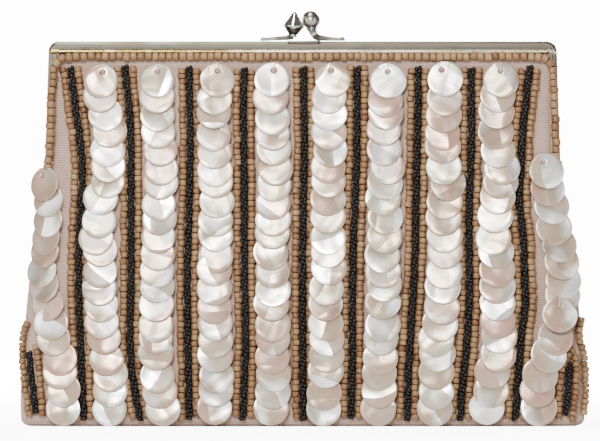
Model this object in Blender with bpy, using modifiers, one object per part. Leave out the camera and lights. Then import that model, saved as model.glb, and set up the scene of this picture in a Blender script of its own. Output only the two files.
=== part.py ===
"""Beaded clutch: a kiss-lock frame bag with shell discs and bead strips, standing upright, closed.

Metres, +Z up, front towards -Y, the origin under the middle of its flat bottom.
"""

import math

import bmesh
import bpy
from mathutils import Matrix, Vector

# Metal frame
FRAME_HALF_WIDTH = 0.107
HINGE_HEIGHT = 0.110
FRAME_RISE = 0.0521
LEG_SPLAY = 0.0017
LEG_END_RISE = 0.0042
CORNER_RADIUS = 0.0042
CHANNEL_DEPTH = 0.005
CHANNEL_WALL = 0.0006
RAIL_FACE = 0.005
LEG_FACE = 0.0034
LIP_FACE = 0.0016
LIP_PROUD = 0.0003
SHOULDER = 0.0011
EDGE_EASE = 0.0004
CORNER_STEPS = 5

# Gap between pieces that touch, and half the gap between the two halves of the frame
CLEARANCE = 0.0003
HALF_SPLIT = 0.0002

# Hinges
EAR_RADIUS = 0.003
EAR_THICKNESS = 0.001
EAR_RISE = 0.006
EAR_STEPS = 12
RIVET_RADIUS = 0.001
RIVET_PLAY = 0.0001
RIVET_HEAD_RADIUS = 0.0021
RIVET_HEAD = 0.0007
RIVET_HEAD_GAP = 0.00015

# Cloth, lining and the cord in the channel
CLOTH = 0.0012
LINING = 0.0005
CORD_RADIUS = 0.0007
CORD_TO_CLOTH = 0.0003
RIM_DROP = 0.008

# Outer form of the bag
BAG_HALF_WIDTH = 0.1190
BAG_HALF_DEPTH = 0.014
WIDEST_HEIGHT = 0.012
DEEPEST_HEIGHT = 0.038
BOTTOM_RADIUS = 0.0035
BELLY_TUCK = 0.001
SIDE_TUCK = 0.0003
TAPER_POWER = 1.5
SECTION_POWER = 4
PANEL_POWER = 6
EDGE_SLACK = 0.002

# Where the beadwork parts above the hinges, and the gap there
SPLIT_RISE = 0.002
SPLIT_GAP = 0.00045

# Bead strips
STRAND = 0.0031
STRIP_HEIGHT = 0.0024
STRIPS = 9
STRIP_TOP_DROP = 0.0117
STRIP_BOTTOM = 0.004
OUTER_STRIP_INSET_TOP = 0.0103
OUTER_STRIP_INSET_HINGE = 0.0168
OUTER_STRIP_INSET_BELLY = 0.0255
OUTER_STRIP_INSET_BOTTOM = 0.0277
INNER_STRIP_BOW = 0.0031
CORNER_STRIP_TOP = 0.034
CORNER_STRIP_INSET = 0.0052

# Shell discs
DISC_RADIUS = 0.0074
DISC_THICKNESS = 0.0009
DISC_TILT = math.radians(5)
DISC_SIDES = 8
DISC_ROLL = 2.4
DISC_WANDER = 0.0011
UPPER_DISC_LIFT = 0.00065
CORE_WIDTH = 0.005
TOP_DISC_DROP = 0.0187
UPPER_DISCS = 4
LOWER_DISCS = 16
SIDE_DISCS = 14
BOTTOM_DISC_CENTRE = 0.0079
SIDE_TOP_DROP = 0.007
SIDE_INSET_TOP = 0.0037
SIDE_INSET_WAIST = 0.0096
SIDE_INSET_BOTTOM = 0.0190
SIDE_WAIST_HEIGHT = 0.058
SIDE_DRAW_IN_HEIGHT = 0.020

# The back's beadwork: a thin web under everything, ridges for strips and stepped bars for columns
WEB = 0.0010
RIDGE_FOOT = 1.45
RIDGE_VALLEY = 0.6
BAR_FOOT = 0.0007
STEP_RUN = 0.00015
SIDE_FOOT = 0.95

# Border beads
BORDER_RADIUS = 0.0017
BORDER_SIDES_RESOLUTION = 1
BORDER_END_RISE = 0.0015
BORDER_TURN = 0.004

# Clasp
FOOT_END = 0.0176
CLASP_RIVET_X = 0.0160
FOOT_WIDTH = 0.0038
FOOT_INNER_X = 0.0060
FOOT_THIN = 0.0009
FOOT_THICK = 0.0017
CLASP_PLAY = 0.0004
CLASP_LEAN = 0.0012
CLASP_RIVET_RADIUS = 0.0008
CLASP_RIVET_HOLE = 0.0011
CLASP_RIVET_HEAD_RADIUS = 0.0014
CLASP_RIVET_HEAD = 0.0005
BALL_RADIUS = 0.0032
BALL_HEIGHT = 0.0089
CONE_RADIUS = 0.0034
CONE_HEIGHT = 0.0068
CONE_POINT = 0.0057
CONE_FOOT = 0.0034
NECK_RADIUS = 0.0013
COLLAR_RADIUS = 0.0019
COLLAR_HEIGHT = 0.0007
FINIAL_LEAN = math.radians(3)

FRAME_TOP = HINGE_HEIGHT + FRAME_RISE
RAIL_BOTTOM = FRAME_TOP - RAIL_FACE
CLOTH_INSET = CHANNEL_WALL + CLEARANCE + 2 * CORD_RADIUS + CORD_TO_CLOTH
CHANNEL_MIDDLE = HALF_SPLIT + CHANNEL_DEPTH / 2
POUCH_RIM = HINGE_HEIGHT - RIM_DROP
HINGE_HALF_WIDTH = FRAME_HALF_WIDTH + LEG_SPLAY
INNER_EAR_FACE = HINGE_HALF_WIDTH - 2 * EAR_THICKNESS - CLEARANCE
RIVET_INNER_END = INNER_EAR_FACE - RIVET_HEAD_GAP - RIVET_HEAD * 0.7
STRIP_TOP = FRAME_TOP - STRIP_TOP_DROP
SPLIT_HEIGHT = HINGE_HEIGHT + SPLIT_RISE
STRIP_CREST = CLEARANCE + STRIP_HEIGHT
STRIP_VALLEY = STRIP_CREST * RIDGE_VALLEY
HALF_BAR = DISC_RADIUS - CLEARANCE
DISC_FACE = STRIP_CREST + CLEARANCE + DISC_THICKNESS


def clear_scene():
    for obj in list(bpy.data.objects):
        bpy.data.objects.remove(obj, do_unlink=True)


def make_collection(name, shown=True):
    group = bpy.data.collections.new(name)
    bpy.context.scene.collection.children.link(group)
    group.hide_render = not shown
    return group


clear_scene()
PARTS = make_collection("beaded_clutch")
CUTTERS = make_collection("cutters", shown=False)


def material(name, colour, roughness, metallic=0.0):
    made = bpy.data.materials.new(name)
    made.use_nodes = True
    shader = made.node_tree.nodes["Principled BSDF"]
    shader.inputs["Base Color"].default_value = (*colour, 1)
    shader.inputs["Roughness"].default_value = roughness
    shader.inputs["Metallic"].default_value = metallic
    made.diffuse_color = (*colour, 1)
    return made


NICKEL = material("nickel", (0.62, 0.61, 0.58), 0.22, 1.0)
BLUSH_CLOTH = material("blush_cloth", (0.86, 0.70, 0.62), 0.85)
LINING_CLOTH = material("lining_cloth", (0.80, 0.68, 0.58), 0.7)
PAPER = material("paper_cord", (0.62, 0.50, 0.36), 0.9)
SHELL = material("shell", (0.86, 0.80, 0.74), 0.25)
BEADS = material("tan_and_black_beads", (0.30, 0.20, 0.11), 0.5)
TAN_BEADS = material("tan_beads", (0.58, 0.37, 0.18), 0.55)


def add(name, mesh, look, parent, group=PARTS):
    """One object from a mesh in world coordinates, hung from its parent with its place kept."""
    obj = bpy.data.objects.new(name, mesh)
    group.objects.link(obj)
    mesh.materials.append(look)
    if group is CUTTERS:
        obj.hide_render = True
        obj.display_type = "WIRE"
        return obj
    mesh.shade_smooth()
    mesh.set_sharp_from_angle(angle=math.radians(35))
    if parent:
        obj.parent = parent
        obj.matrix_parent_inverse = Matrix.Translation(parent.location).inverted()
    return obj


def axis_empty(name, place):
    empty = bpy.data.objects.new(name, None)
    empty.location = place
    PARTS.objects.link(empty)
    return empty


def mesh_from(name, build):
    """A mesh filled in by a function that works on a bmesh."""
    work = bmesh.new()
    build(work)
    bmesh.ops.recalc_face_normals(work, faces=work.faces)
    mesh = bpy.data.meshes.new(name)
    work.to_mesh(mesh)
    work.free()
    return mesh


def loft(work, rings, closed=True, caps=True):
    """Joins rings of as many points each with faces, and closes the two ends."""
    made = [[work.verts.new(point) for point in ring] for ring in rings]
    count = len(rings[0])
    spans = count if closed else count - 1
    for first, second in zip(made, made[1:]):
        for i in range(spans):
            j = (i + 1) % count
            work.faces.new((first[i], first[j], second[j], second[i]))
    if caps:
        work.faces.new(made[0])
        work.faces.new(made[-1])


def boolean(obj, other, operation, self_crossing=False):
    cut = obj.modifiers.new(operation.lower(), "BOOLEAN")
    cut.operation = operation
    cut.object = other
    cut.use_self = self_crossing


def mix(a, b, share):
    return a + (b - a) * share


def smooth_step(low, high, value):
    share = min(max((value - low) / (high - low), 0), 1)
    return share * share * (3 - 2 * share)


def corner_drop(z):
    """How far the rounded bottom edge draws in at this height."""
    if z >= BOTTOM_RADIUS:
        return 0
    rest = 1 - z / BOTTOM_RADIUS
    return BOTTOM_RADIUS * (1 - math.sqrt(1 - rest * rest))


def half_width(z):
    """Half the cloth's width, from the flat bottom up to the hinges."""
    if z < WIDEST_HEIGHT:
        tuck = SIDE_TUCK * (1 - z / WIDEST_HEIGHT) ** 2
        return BAG_HALF_WIDTH - tuck - corner_drop(z)
    share = min((z - WIDEST_HEIGHT) / (HINGE_HEIGHT - WIDEST_HEIGHT), 1)
    return mix(BAG_HALF_WIDTH, HINGE_HALF_WIDTH, share**TAPER_POWER)


def half_depth(z):
    """Half the cloth's depth at its middle, from the bottom to the rail."""
    if z < DEEPEST_HEIGHT:
        tuck = BELLY_TUCK * (1 - z / DEEPEST_HEIGHT) ** 2
        return BAG_HALF_DEPTH - tuck - corner_drop(z)
    share = min((z - DEEPEST_HEIGHT) / (RAIL_BOTTOM - DEEPEST_HEIGHT), 1)
    return mix(BAG_HALF_DEPTH, CHANNEL_MIDDLE + CLOTH / 2, share**TAPER_POWER)


def leg_outer(z):
    """The outer face of the legs, which splay towards the hinges."""
    share = (FRAME_TOP - z) / (FRAME_TOP - HINGE_HEIGHT)
    return FRAME_HALF_WIDTH + LEG_SPLAY * share


def cloth_edge(z):
    """Where the upper cloth ends inside the channel of a leg."""
    return leg_outer(z) - CLOTH_INSET


def rounded_edge(z):
    """The upper cloth's edge, drawn in at the frame's corners and inside the ears and rivets."""
    inner = CORNER_RADIUS - CLOTH_INSET
    down = FRAME_TOP - CLOTH_INSET - z
    if down < inner:
        rest = 1 - max(down, 0) / inner
        return cloth_edge(z) - inner * (1 - math.sqrt(1 - rest * rest))
    ear_top = HINGE_HEIGHT + EAR_RISE
    free = RIVET_INNER_END - CLEARANCE
    share = smooth_step(ear_top + CLEARANCE, ear_top + EAR_RISE / 2, z)
    return mix(free, cloth_edge(z), share)


def panel_depth(x, z):
    """The upper cloth's outer face: it leaves the channel and swells forward."""
    edge = CHANNEL_MIDDLE + CLOTH / 2
    mouth = leg_outer(z) - LEG_FACE - EDGE_SLACK / 4
    across = min(abs(x) / mouth, 1)
    return edge + (half_depth(z) - edge) * math.sqrt(1 - across**PANEL_POWER)


def pouch_depth(x, z):
    """The pouch's outer face, a rounded section."""
    across = min(abs(x) / half_width(z), 0.995)
    return half_depth(z) * (1 - across**SECTION_POWER) ** (1 / SECTION_POWER)


def cloth_depth(x, z):
    """The cloth's outer face all the way up, with the two forms blended about the hinges."""
    share = smooth_step(POUCH_RIM, HINGE_HEIGHT + RIM_DROP, z)
    return mix(pouch_depth(x, z), panel_depth(x, z), share)


def seat(x, z, height, side=-1):
    """A point at this height over the cloth, and the way out from the cloth there."""
    step = 0.0005
    slope_x = (cloth_depth(x + step, z) - cloth_depth(x - step, z)) / (2 * step)
    slope_z = (cloth_depth(x, z + step) - cloth_depth(x, z - step)) / (2 * step)
    out = Vector((-slope_x, side, -slope_z)).normalized()
    return Vector((x, side * cloth_depth(x, z), z)) + out * height, out


def frame_path(inset, rise):
    """Points round the frame's outer edge, left leg to right, each with the way out."""
    low = HINGE_HEIGHT + rise
    radius = CORNER_RADIUS
    centre_z = FRAME_TOP - radius
    half = [(Vector((leg_outer(low), 0, low)), Vector((1, 0, 0)), 0)]
    for k in range(CORNER_STEPS + 1):
        turn = math.pi / 2 * k / CORNER_STEPS
        out = Vector((math.cos(turn), 0, math.sin(turn)))
        centre = Vector((leg_outer(centre_z) - radius, 0, centre_z))
        half.append((centre + out * radius, out, k / CORNER_STEPS))
    right = [(point - out * inset, out, rail) for point, out, rail in half]
    flip = Vector((-1, 1, 1))
    left = [(point * flip, out * flip, rail) for point, out, rail in right]
    return left + right[::-1]


def channel_profile(face):
    """The channel's section: inward from the outer edge, and forward from the split."""
    wall = CHANNEL_WALL
    deep = CHANNEL_DEPTH
    lip = face - LIP_FACE
    return (
        (0, EDGE_EASE),
        (0, deep - SHOULDER),
        (-SHOULDER * 0.35, deep - SHOULDER * 0.35),
        (-SHOULDER, deep),
        (-lip, deep),
        (-lip - LIP_PROUD, deep + LIP_PROUD),
        (-face, deep + LIP_PROUD),
        (-face, deep - wall),
        (-wall, deep - wall),
        (-wall, wall),
        (-face, wall),
        (-face, 0),
        (-EDGE_EASE, 0),
    )


def frame_half(name, side, ear_centre, parent):
    """One half of the frame: a bent channel, with an ear at each leg for the hinge rivet."""

    def build(work):
        rings = []
        for point, out, rail in frame_path(0, LEG_END_RISE):
            face = mix(LEG_FACE, RAIL_FACE, rail)
            rings.append(
                [
                    point + out * inward + Vector((0, side * (HALF_SPLIT + forward), 0))
                    for inward, forward in channel_profile(face)
                ]
            )
        loft(work, rings)

    frame = add(name, mesh_from(name, build), NICKEL, parent)
    boolean(frame, clasp_drill(name + "_clasp_drill", side), "DIFFERENCE")
    for x_side in (-1, 1):
        label = f"{name}_ear_{'left' if x_side < 0 else 'right'}"
        ear = add(label, ear_mesh(label, side, x_side * ear_centre), NICKEL, None, CUTTERS)
        boolean(frame, ear, "UNION")
    return frame


def ear_mesh(name, side, x):
    """A round-ended plate from the leg down to the hinge's axis, bored for the rivet."""
    near = HALF_SPLIT + CHANNEL_WALL / 3
    far = HALF_SPLIT + CHANNEL_DEPTH - CHANNEL_WALL / 3
    hole = RIVET_RADIUS + RIVET_PLAY

    def outline():
        points = [(side * far, EAR_RISE), (side * near, EAR_RISE)]
        for k in range(EAR_STEPS + 1):
            turn = math.radians(80) + math.radians(270) * k / EAR_STEPS
            points.append((side * EAR_RADIUS * math.cos(turn), EAR_RADIUS * math.sin(turn)))
        return points

    def build(work):
        rings = []
        for shift in (-0.5, 0.5):
            across = x + shift * EAR_THICKNESS
            rings.append([Vector((across, y, HINGE_HEIGHT + z)) for y, z in outline()])
        loft(work, rings)

    ear = add(name + "_plate", mesh_from(name, build), NICKEL, None, CUTTERS)
    place = Matrix.Translation((x, 0, HINGE_HEIGHT)) @ Matrix.Rotation(math.pi / 2, 4, "Y")
    bore = drill(name + "_bore", hole, EAR_THICKNESS * 3, place)
    boolean(ear, bore, "DIFFERENCE")
    bpy.context.view_layer.update()
    graph = bpy.context.evaluated_depsgraph_get()
    bored = bpy.data.meshes.new_from_object(ear.evaluated_get(graph))
    bpy.data.objects.remove(ear)
    bpy.data.objects.remove(bore)
    return bored


def add_disc(work, radius, thickness, sides, place):
    """A round plate or bar of this many sides, centred and turned by the matrix."""
    bmesh.ops.create_cone(
        work,
        cap_ends=True,
        segments=sides,
        radius1=radius,
        radius2=radius,
        depth=thickness,
        matrix=place,
    )


def drill(name, radius, length, place):
    """A hidden round bar that cuts a hole."""
    mesh = mesh_from(name, lambda work: add_disc(work, radius, length, 14, place))
    return add(name, mesh, NICKEL, None, CUTTERS)


def clasp_drill(name, side):
    """The hole through a rail's top and the foot of the arm on it."""
    place = Matrix.Translation((-side * CLASP_RIVET_X, side * CHANNEL_MIDDLE, FRAME_TOP))
    return drill(name, CLASP_RIVET_HOLE, FOOT_THICK * 4, place)


def turned(name, profile, place, lean, look, parent, sides=16):
    """A turned piece: a profile of (radius, height) from its top down, spun about its own axis."""
    mesh = bpy.data.meshes.new(name)
    points = [(radius, 0, height) for radius, height in profile]
    mesh.from_pydata(points, [(k, k + 1) for k in range(len(points) - 1)], [])
    obj = bpy.data.objects.new(name, mesh)
    PARTS.objects.link(obj)
    mesh.materials.append(look)
    screw = obj.modifiers.new("turn", "SCREW")
    screw.steps = sides
    screw.render_steps = sides
    screw.use_merge_vertices = True
    screw.merge_threshold = 0.00005
    obj.matrix_world = Matrix.Translation(place) @ lean
    if parent:
        obj.parent = parent
        obj.matrix_parent_inverse = Matrix.Translation(parent.location).inverted()
    return obj


def hinge_rivets():
    """A headed pin through the two ears at each side, carried by the pouch."""
    outer = HINGE_HALF_WIDTH + RIVET_HEAD_GAP
    inner = INNER_EAR_FACE - RIVET_HEAD_GAP
    for x_side, label in ((-1, "left"), (1, "right")):
        profile = (
            (0, outer + RIVET_HEAD),
            (RIVET_HEAD_RADIUS * 0.7, outer + RIVET_HEAD * 0.9),
            (RIVET_HEAD_RADIUS, outer + RIVET_HEAD * 0.4),
            (RIVET_HEAD_RADIUS, outer),
            (RIVET_RADIUS, outer),
            (RIVET_RADIUS, inner),
            (RIVET_HEAD_RADIUS * 0.8, inner),
            (RIVET_HEAD_RADIUS * 0.8, RIVET_INNER_END),
            (0, RIVET_INNER_END),
        )
        lean = Matrix.Rotation(x_side * math.pi / 2, 4, "Y")
        turned(f"hinge_rivet_{label}", profile, (0, 0, HINGE_HEIGHT), lean, NICKEL, None, 16)


def frame_cord(name, side, parent):
    """The paper cord pressed into the channel over the cloth's edge."""
    inset = CHANNEL_WALL + CLEARANCE + CORD_RADIUS
    curve = bpy.data.curves.new(name, "CURVE")
    curve.dimensions = "3D"
    curve.bevel_depth = CORD_RADIUS
    curve.bevel_resolution = 1
    curve.use_fill_caps = True
    points = [point for point, _, _ in frame_path(inset, EAR_RISE + CLEARANCE)]
    line = curve.splines.new("POLY")
    line.points.add(len(points) - 1)
    for slot, point in zip(line.points, points):
        slot.co = (point.x, side * CHANNEL_MIDDLE, point.z, 1)
    curve.materials.append(PAPER)
    obj = bpy.data.objects.new(name, curve)
    PARTS.objects.link(obj)
    obj.parent = parent
    obj.matrix_parent_inverse = Matrix.Translation(parent.location).inverted()


def sheet(name, rows, thickness, look, parent):
    """A cloth sheet: an open grid of points on its outer face, thickened behind that face."""

    def build(work):
        loft(work, rows, closed=False, caps=False)

    obj = add(name, mesh_from(name, build), look, parent)
    wall = obj.modifiers.new("thickness", "SOLIDIFY")
    wall.thickness = thickness
    wall.offset = 0
    wall.use_even_offset = True
    return obj


def upper_sheet(name, side, behind, thickness, look, parent):
    """The cloth above the hinges, from inside one leg's channel to the other's."""
    top = FRAME_TOP - CLOTH_INSET
    heights = [HINGE_HEIGHT]
    for share in (0.3, 0.6, 0.85):
        heights.append(mix(HINGE_HEIGHT, RAIL_BOTTOM, share))
    heights += [RAIL_BOTTOM - CLEARANCE, mix(RAIL_BOTTOM, top, 0.5), top]
    shares = (1, 0.985, 0.96, 0.9, 0.78, 0.5)
    across = [-share for share in shares] + [0] + list(shares[::-1])
    rows = []
    for z in heights:
        edge = rounded_edge(z)
        row = []
        for share in across:
            x = share * edge
            row.append(Vector((x, side * (panel_depth(x, z) - behind), z)))
        rows.append(row)
    return sheet(name, rows, thickness, look, parent)


def section_ring(z, inset, count, floor):
    """A closed ring of points round the pouch at one height, or on its floor."""
    ring = []
    wide = half_width(z) - inset
    deep = half_depth(z) - inset
    power = 2 / SECTION_POWER
    for k in range(count):
        turn = 2 * math.pi * (k + 0.5) / count
        c = math.cos(turn)
        s = math.sin(turn)
        x = math.copysign(abs(c) ** power, c) * wide
        y = math.copysign(abs(s) ** power, s) * deep
        ring.append(Vector((x, y, max(z, floor))))
    return ring


def pouch_bag(name, inset, thickness, floor, sides, look):
    """A bag open at the top with a flat floor, thickened inwards."""
    bends = [BOTTOM_RADIUS * 0.2, BOTTOM_RADIUS, WIDEST_HEIGHT, DEEPEST_HEIGHT]
    bends += [mix(DEEPEST_HEIGHT, POUCH_RIM, share) for share in (0.35, 0.68, 1)]
    heights = [0] + [z for z in bends if z > floor + CLEARANCE]

    def build(work):
        loft(work, [section_ring(z, inset, sides, floor) for z in heights], caps=False)
        work.verts.ensure_lookup_table()
        work.faces.new(work.verts[:sides])

    mesh = mesh_from(name, build)
    obj = add(name, mesh, look, None)
    wall = obj.modifiers.new("thickness", "SOLIDIFY")
    wall.thickness = thickness
    wall.offset = -1
    wall.use_even_offset = True
    return obj


def strip_profile(strand, strands):
    """The section of strands side by side: (along the cloth, out from it)."""
    half = strand * strands / 2
    points = [(-half, 0), (-half + strand * 0.06, STRIP_HEIGHT * 0.55)]
    for k in range(strands):
        middle = -half + strand * (k + 0.5)
        points.append((middle - strand * 0.28, STRIP_HEIGHT * 0.92))
        points.append((middle, STRIP_HEIGHT))
        points.append((middle + strand * 0.28, STRIP_HEIGHT * 0.92))
        if k < strands - 1:
            points.append((middle + strand * 0.5, STRIP_HEIGHT * 0.6))
    points += [(half - strand * 0.06, STRIP_HEIGHT * 0.55), (half, 0)]
    return points


def ribbon(work, route, profile, side, height=CLEARANCE):
    """Sweeps a section along a route of (x, z) on the cloth."""
    rings = []
    for k, (x, z) in enumerate(route):
        before = route[max(k - 1, 0)]
        after = route[min(k + 1, len(route) - 1)]
        place, out = seat(x, z, height, side)
        along = Vector((after[0] - before[0], 0, after[1] - before[1]))
        along = (along - out * along.dot(out)).normalized()
        across = along.cross(out)
        rings.append([place + across * a + out * b for a, b in profile])
    loft(work, rings)


def outer_strip_x(z):
    """The middle of the outermost strip: it runs in from the rail and then nearly straight."""
    if z > HINGE_HEIGHT:
        share = smooth_step(HINGE_HEIGHT, STRIP_TOP, z)
        high = FRAME_HALF_WIDTH - OUTER_STRIP_INSET_TOP
        return mix(HINGE_HALF_WIDTH - OUTER_STRIP_INSET_HINGE, high, share)
    share = smooth_step(DEEPEST_HEIGHT, HINGE_HEIGHT, z)
    belly = BAG_HALF_WIDTH - OUTER_STRIP_INSET_BELLY
    upper = mix(belly, HINGE_HALF_WIDTH - OUTER_STRIP_INSET_HINGE, share)
    low = BAG_HALF_WIDTH - OUTER_STRIP_INSET_BOTTOM
    return mix(low, upper, smooth_step(0, DEEPEST_HEIGHT, z))


def strip_x(k, z):
    """The middle of one strip: the inner ones are evenly spaced, and bow out a little at the hinges."""
    outer = outer_strip_x(z)
    if 0 < k < STRIPS - 1:
        bow = smooth_step(0, HINGE_HEIGHT, z) * (1 - smooth_step(HINGE_HEIGHT, STRIP_TOP, z))
        outer += INNER_STRIP_BOW * bow
    return outer * (2 * k / (STRIPS - 1) - 1)


def column_x(k, z):
    """The middle of one column, halfway between the strips on either side of it."""
    return (strip_x(k, z) + strip_x(k + 1, z)) / 2


def strips(side, parent):
    """Nine strips on the front, each in an upper and a lower length that meet at the hinges."""
    profile = strip_profile(STRAND, 3)
    upper = [mix(STRIP_TOP, SPLIT_HEIGHT, share) for share in (0, 0.4, 0.93, 1)]
    low_end = SPLIT_HEIGHT - SPLIT_GAP
    lower = [mix(low_end, STRIP_BOTTOM, share) for share in (0, 0.03, 0.25, 0.6, 0.9, 1)]
    for k in range(STRIPS):
        for label, heights, hung in (("upper", upper, parent), ("lower", lower, None)):
            name = f"bead_strip_{label}_{k + 1}"
            route = [(strip_x(k, z), z) for z in heights]
            mesh = mesh_from(name, lambda work: ribbon(work, route, profile, side))
            add(name, mesh, BEADS, hung)


def corner_strips(side):
    """The short strips at the bottom corners."""
    profile = strip_profile(STRAND, 3)
    inset = CORNER_STRIP_INSET
    for x_side, label in ((-1, "left"), (1, "right")):
        name = f"corner_strip_{label}"
        route = []
        for share in (0, 0.2, 0.5, 0.85, 1):
            z = mix(CORNER_STRIP_TOP, STRIP_BOTTOM, share)
            route.append((x_side * (half_width(max(z, WIDEST_HEIGHT)) - inset), z))
        mesh = mesh_from(name, lambda work: ribbon(work, route, profile, side))
        add(name, mesh, BEADS, None)


def disc_stack(name, line, heights, wander, lift, side, core_ends, parent):
    """Shell discs, each lapping over the one below, either side of a core that follows the cloth."""
    level = STRIP_CREST + CLEARANCE * 1.5 + DISC_THICKNESS / 2 + lift

    def discs(work):
        for k, z in enumerate(heights):
            place, out = seat(line(z) + wander(k), z, level, side)
            across = Vector((1, 0, 0))
            across = (across - out * across.dot(out)).normalized()
            along = out.cross(across)
            turn = Matrix((across, along, out)).transposed().to_4x4()
            tip = Matrix.Rotation(side * DISC_TILT, 4, "X")
            roll = Matrix.Rotation(k * DISC_ROLL, 4, "Z")
            spot = Matrix.Translation(place) @ turn @ tip @ roll
            add_disc(work, DISC_RADIUS, DISC_THICKNESS, DISC_SIDES, spot)

    half = CORE_WIDTH / 2
    tall = level - CLEARANCE
    profile = ((-half, 0), (-half, tall), (half, tall), (half, 0))
    top, bottom = core_ends
    inside = [z for z in heights if bottom < z < top]
    route = [(line(z), z) for z in [top] + inside[1::2] + [bottom]]
    helper = add(name + "_discs", mesh_from(name, discs), SHELL, None, CUTTERS)
    core = add(name, mesh_from(name, lambda work: ribbon(work, route, profile, side)), SHELL, parent)
    boolean(core, helper, "UNION", self_crossing=True)


def disc_heights():
    """The middles of a full column's discs, from the top down."""
    first = FRAME_TOP - TOP_DISC_DROP
    total = UPPER_DISCS + LOWER_DISCS
    return [mix(first, BOTTOM_DISC_CENTRE, i / (total - 1)) for i in range(total)]


def full_columns(side, parent):
    """Eight columns on the front, four discs of each on the upper cloth and the rest below."""
    heights = disc_heights()
    upper = heights[:UPPER_DISCS]
    lower = heights[UPPER_DISCS:]
    inner = DISC_RADIUS * 0.6
    upper_ends = (upper[0] + inner, lower[0] + DISC_RADIUS + CLEARANCE)
    lower_ends = (SPLIT_HEIGHT - SPLIT_GAP, BOTTOM_DISC_CENTRE - inner)

    def wander(i):
        return DISC_WANDER * math.sin(2.4 * i + 1.7 * k)

    for k in range(STRIPS - 1):
        for label, zs, lift, ends, hung in (
            ("upper", upper, UPPER_DISC_LIFT, upper_ends, parent),
            ("lower", lower, 0, lower_ends, None),
        ):
            name = f"shell_column_{label}_{k + 1}"
            disc_stack(name, lambda z: column_x(k, z), zs, wander, lift, side, ends, hung)


def side_column_x(z):
    """The side columns follow the bag's edge, then draw in towards the bottom."""
    bottom = BAG_HALF_WIDTH - SIDE_INSET_BOTTOM
    waist = BAG_HALF_WIDTH - SIDE_INSET_WAIST
    top = HINGE_HALF_WIDTH - SIDE_INSET_TOP
    upper = mix(waist, top, smooth_step(SIDE_WAIST_HEIGHT, HINGE_HEIGHT - SIDE_TOP_DROP, z))
    return mix(bottom, upper, smooth_step(SIDE_DRAW_IN_HEIGHT, SIDE_WAIST_HEIGHT, z))


def side_columns(side):
    """A column of discs at each side edge of the front, below the hinges."""
    first = HINGE_HEIGHT - SIDE_TOP_DROP
    last = SIDE_DISCS - 1
    heights = [mix(first, BOTTOM_DISC_CENTRE, i / last) for i in range(SIDE_DISCS)]
    ends = (POUCH_RIM, BOTTOM_DISC_CENTRE - DISC_RADIUS * 0.6)
    lift = CLEARANCE * 0.6

    def line(z):
        return x_side * side_column_x(z)

    def wander(i):
        return DISC_WANDER * 0.6 * math.sin(2.1 * i + x_side)

    for x_side, label in ((-1, "left"), (1, "right")):
        disc_stack(f"shell_column_side_{label}", line, heights, wander, lift, side, ends, None)


def border(name, side, parent):
    """The row of beads under the rail and down both legs, as one bent cord of beads."""
    row_z = RAIL_BOTTOM - CLEARANCE - BORDER_RADIUS
    row_y = CHANNEL_MIDDLE + CLOTH / 2 + CLEARANCE + BORDER_RADIUS
    leg_y = HALF_SPLIT + CHANNEL_DEPTH + LIP_PROUD + CLEARANCE + BORDER_RADIUS
    end_z = HINGE_HEIGHT + BORDER_END_RISE
    inset = BORDER_RADIUS

    def edge(z):
        return leg_outer(z) - inset

    half = [
        (edge(end_z), leg_y + (half_depth(end_z) - leg_y) * 0.25, end_z),
        (edge(row_z - 3 * BORDER_TURN), leg_y, row_z - 3 * BORDER_TURN),
        (edge(row_z) - BORDER_TURN * 0.25, leg_y, row_z - BORDER_TURN),
        (edge(row_z) - BORDER_TURN, leg_y - CLEARANCE, row_z - BORDER_TURN * 0.25),
        (edge(row_z) - 2.2 * BORDER_TURN, row_y + BORDER_RADIUS * 0.3, row_z),
        (edge(row_z) - 4 * BORDER_TURN, row_y + CLEARANCE, row_z),
    ]
    points = [(-x, y, z) for x, y, z in half] + half[::-1]
    curve = bpy.data.curves.new(name, "CURVE")
    curve.dimensions = "3D"
    curve.bevel_depth = BORDER_RADIUS
    curve.bevel_resolution = BORDER_SIDES_RESOLUTION
    curve.use_fill_caps = True
    line = curve.splines.new("POLY")
    line.points.add(len(points) - 1)
    for slot, (x, y, z) in zip(line.points, points):
        slot.co = (x, side * y, z, 1)
    curve.materials.append(TAN_BEADS)
    obj = bpy.data.objects.new(name, curve)
    PARTS.objects.link(obj)
    obj.parent = parent
    obj.matrix_parent_inverse = Matrix.Translation(parent.location).inverted()


def ridge_stations(z, with_sides):
    """The back's section at a height, as (x, level): each strip's three strands and the web between."""
    section = ((-RIDGE_FOOT, WEB), (-1, STRIP_CREST), (-0.5, STRIP_VALLEY), (0, STRIP_CREST))
    section += ((0.5, STRIP_VALLEY), (1, STRIP_CREST), (RIDGE_FOOT, WEB))
    inner_edge = side_column_x(z) - HALF_BAR
    found = []
    for k in range(STRIPS):
        middle = strip_x(k, z)
        for share, level in section:
            offset = share * STRAND
            if with_sides and abs(middle + offset) > abs(strip_x(0, z)):
                offset *= min(1, (inner_edge - abs(middle)) / (STRAND * 1.5))
            found.append((middle + offset, level))
    if with_sides:
        ends = [(mix(found[-1][0], inner_edge, SIDE_FOOT), WEB)]
        for share in (-1, -0.5, -0.1, 0.2, 0.4, 0.55):
            ends.append((side_column_x(z) + HALF_BAR * share, DISC_FACE))
        found = [(-x, level) for x, level in ends[::-1]] + found + ends
    return found


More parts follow.
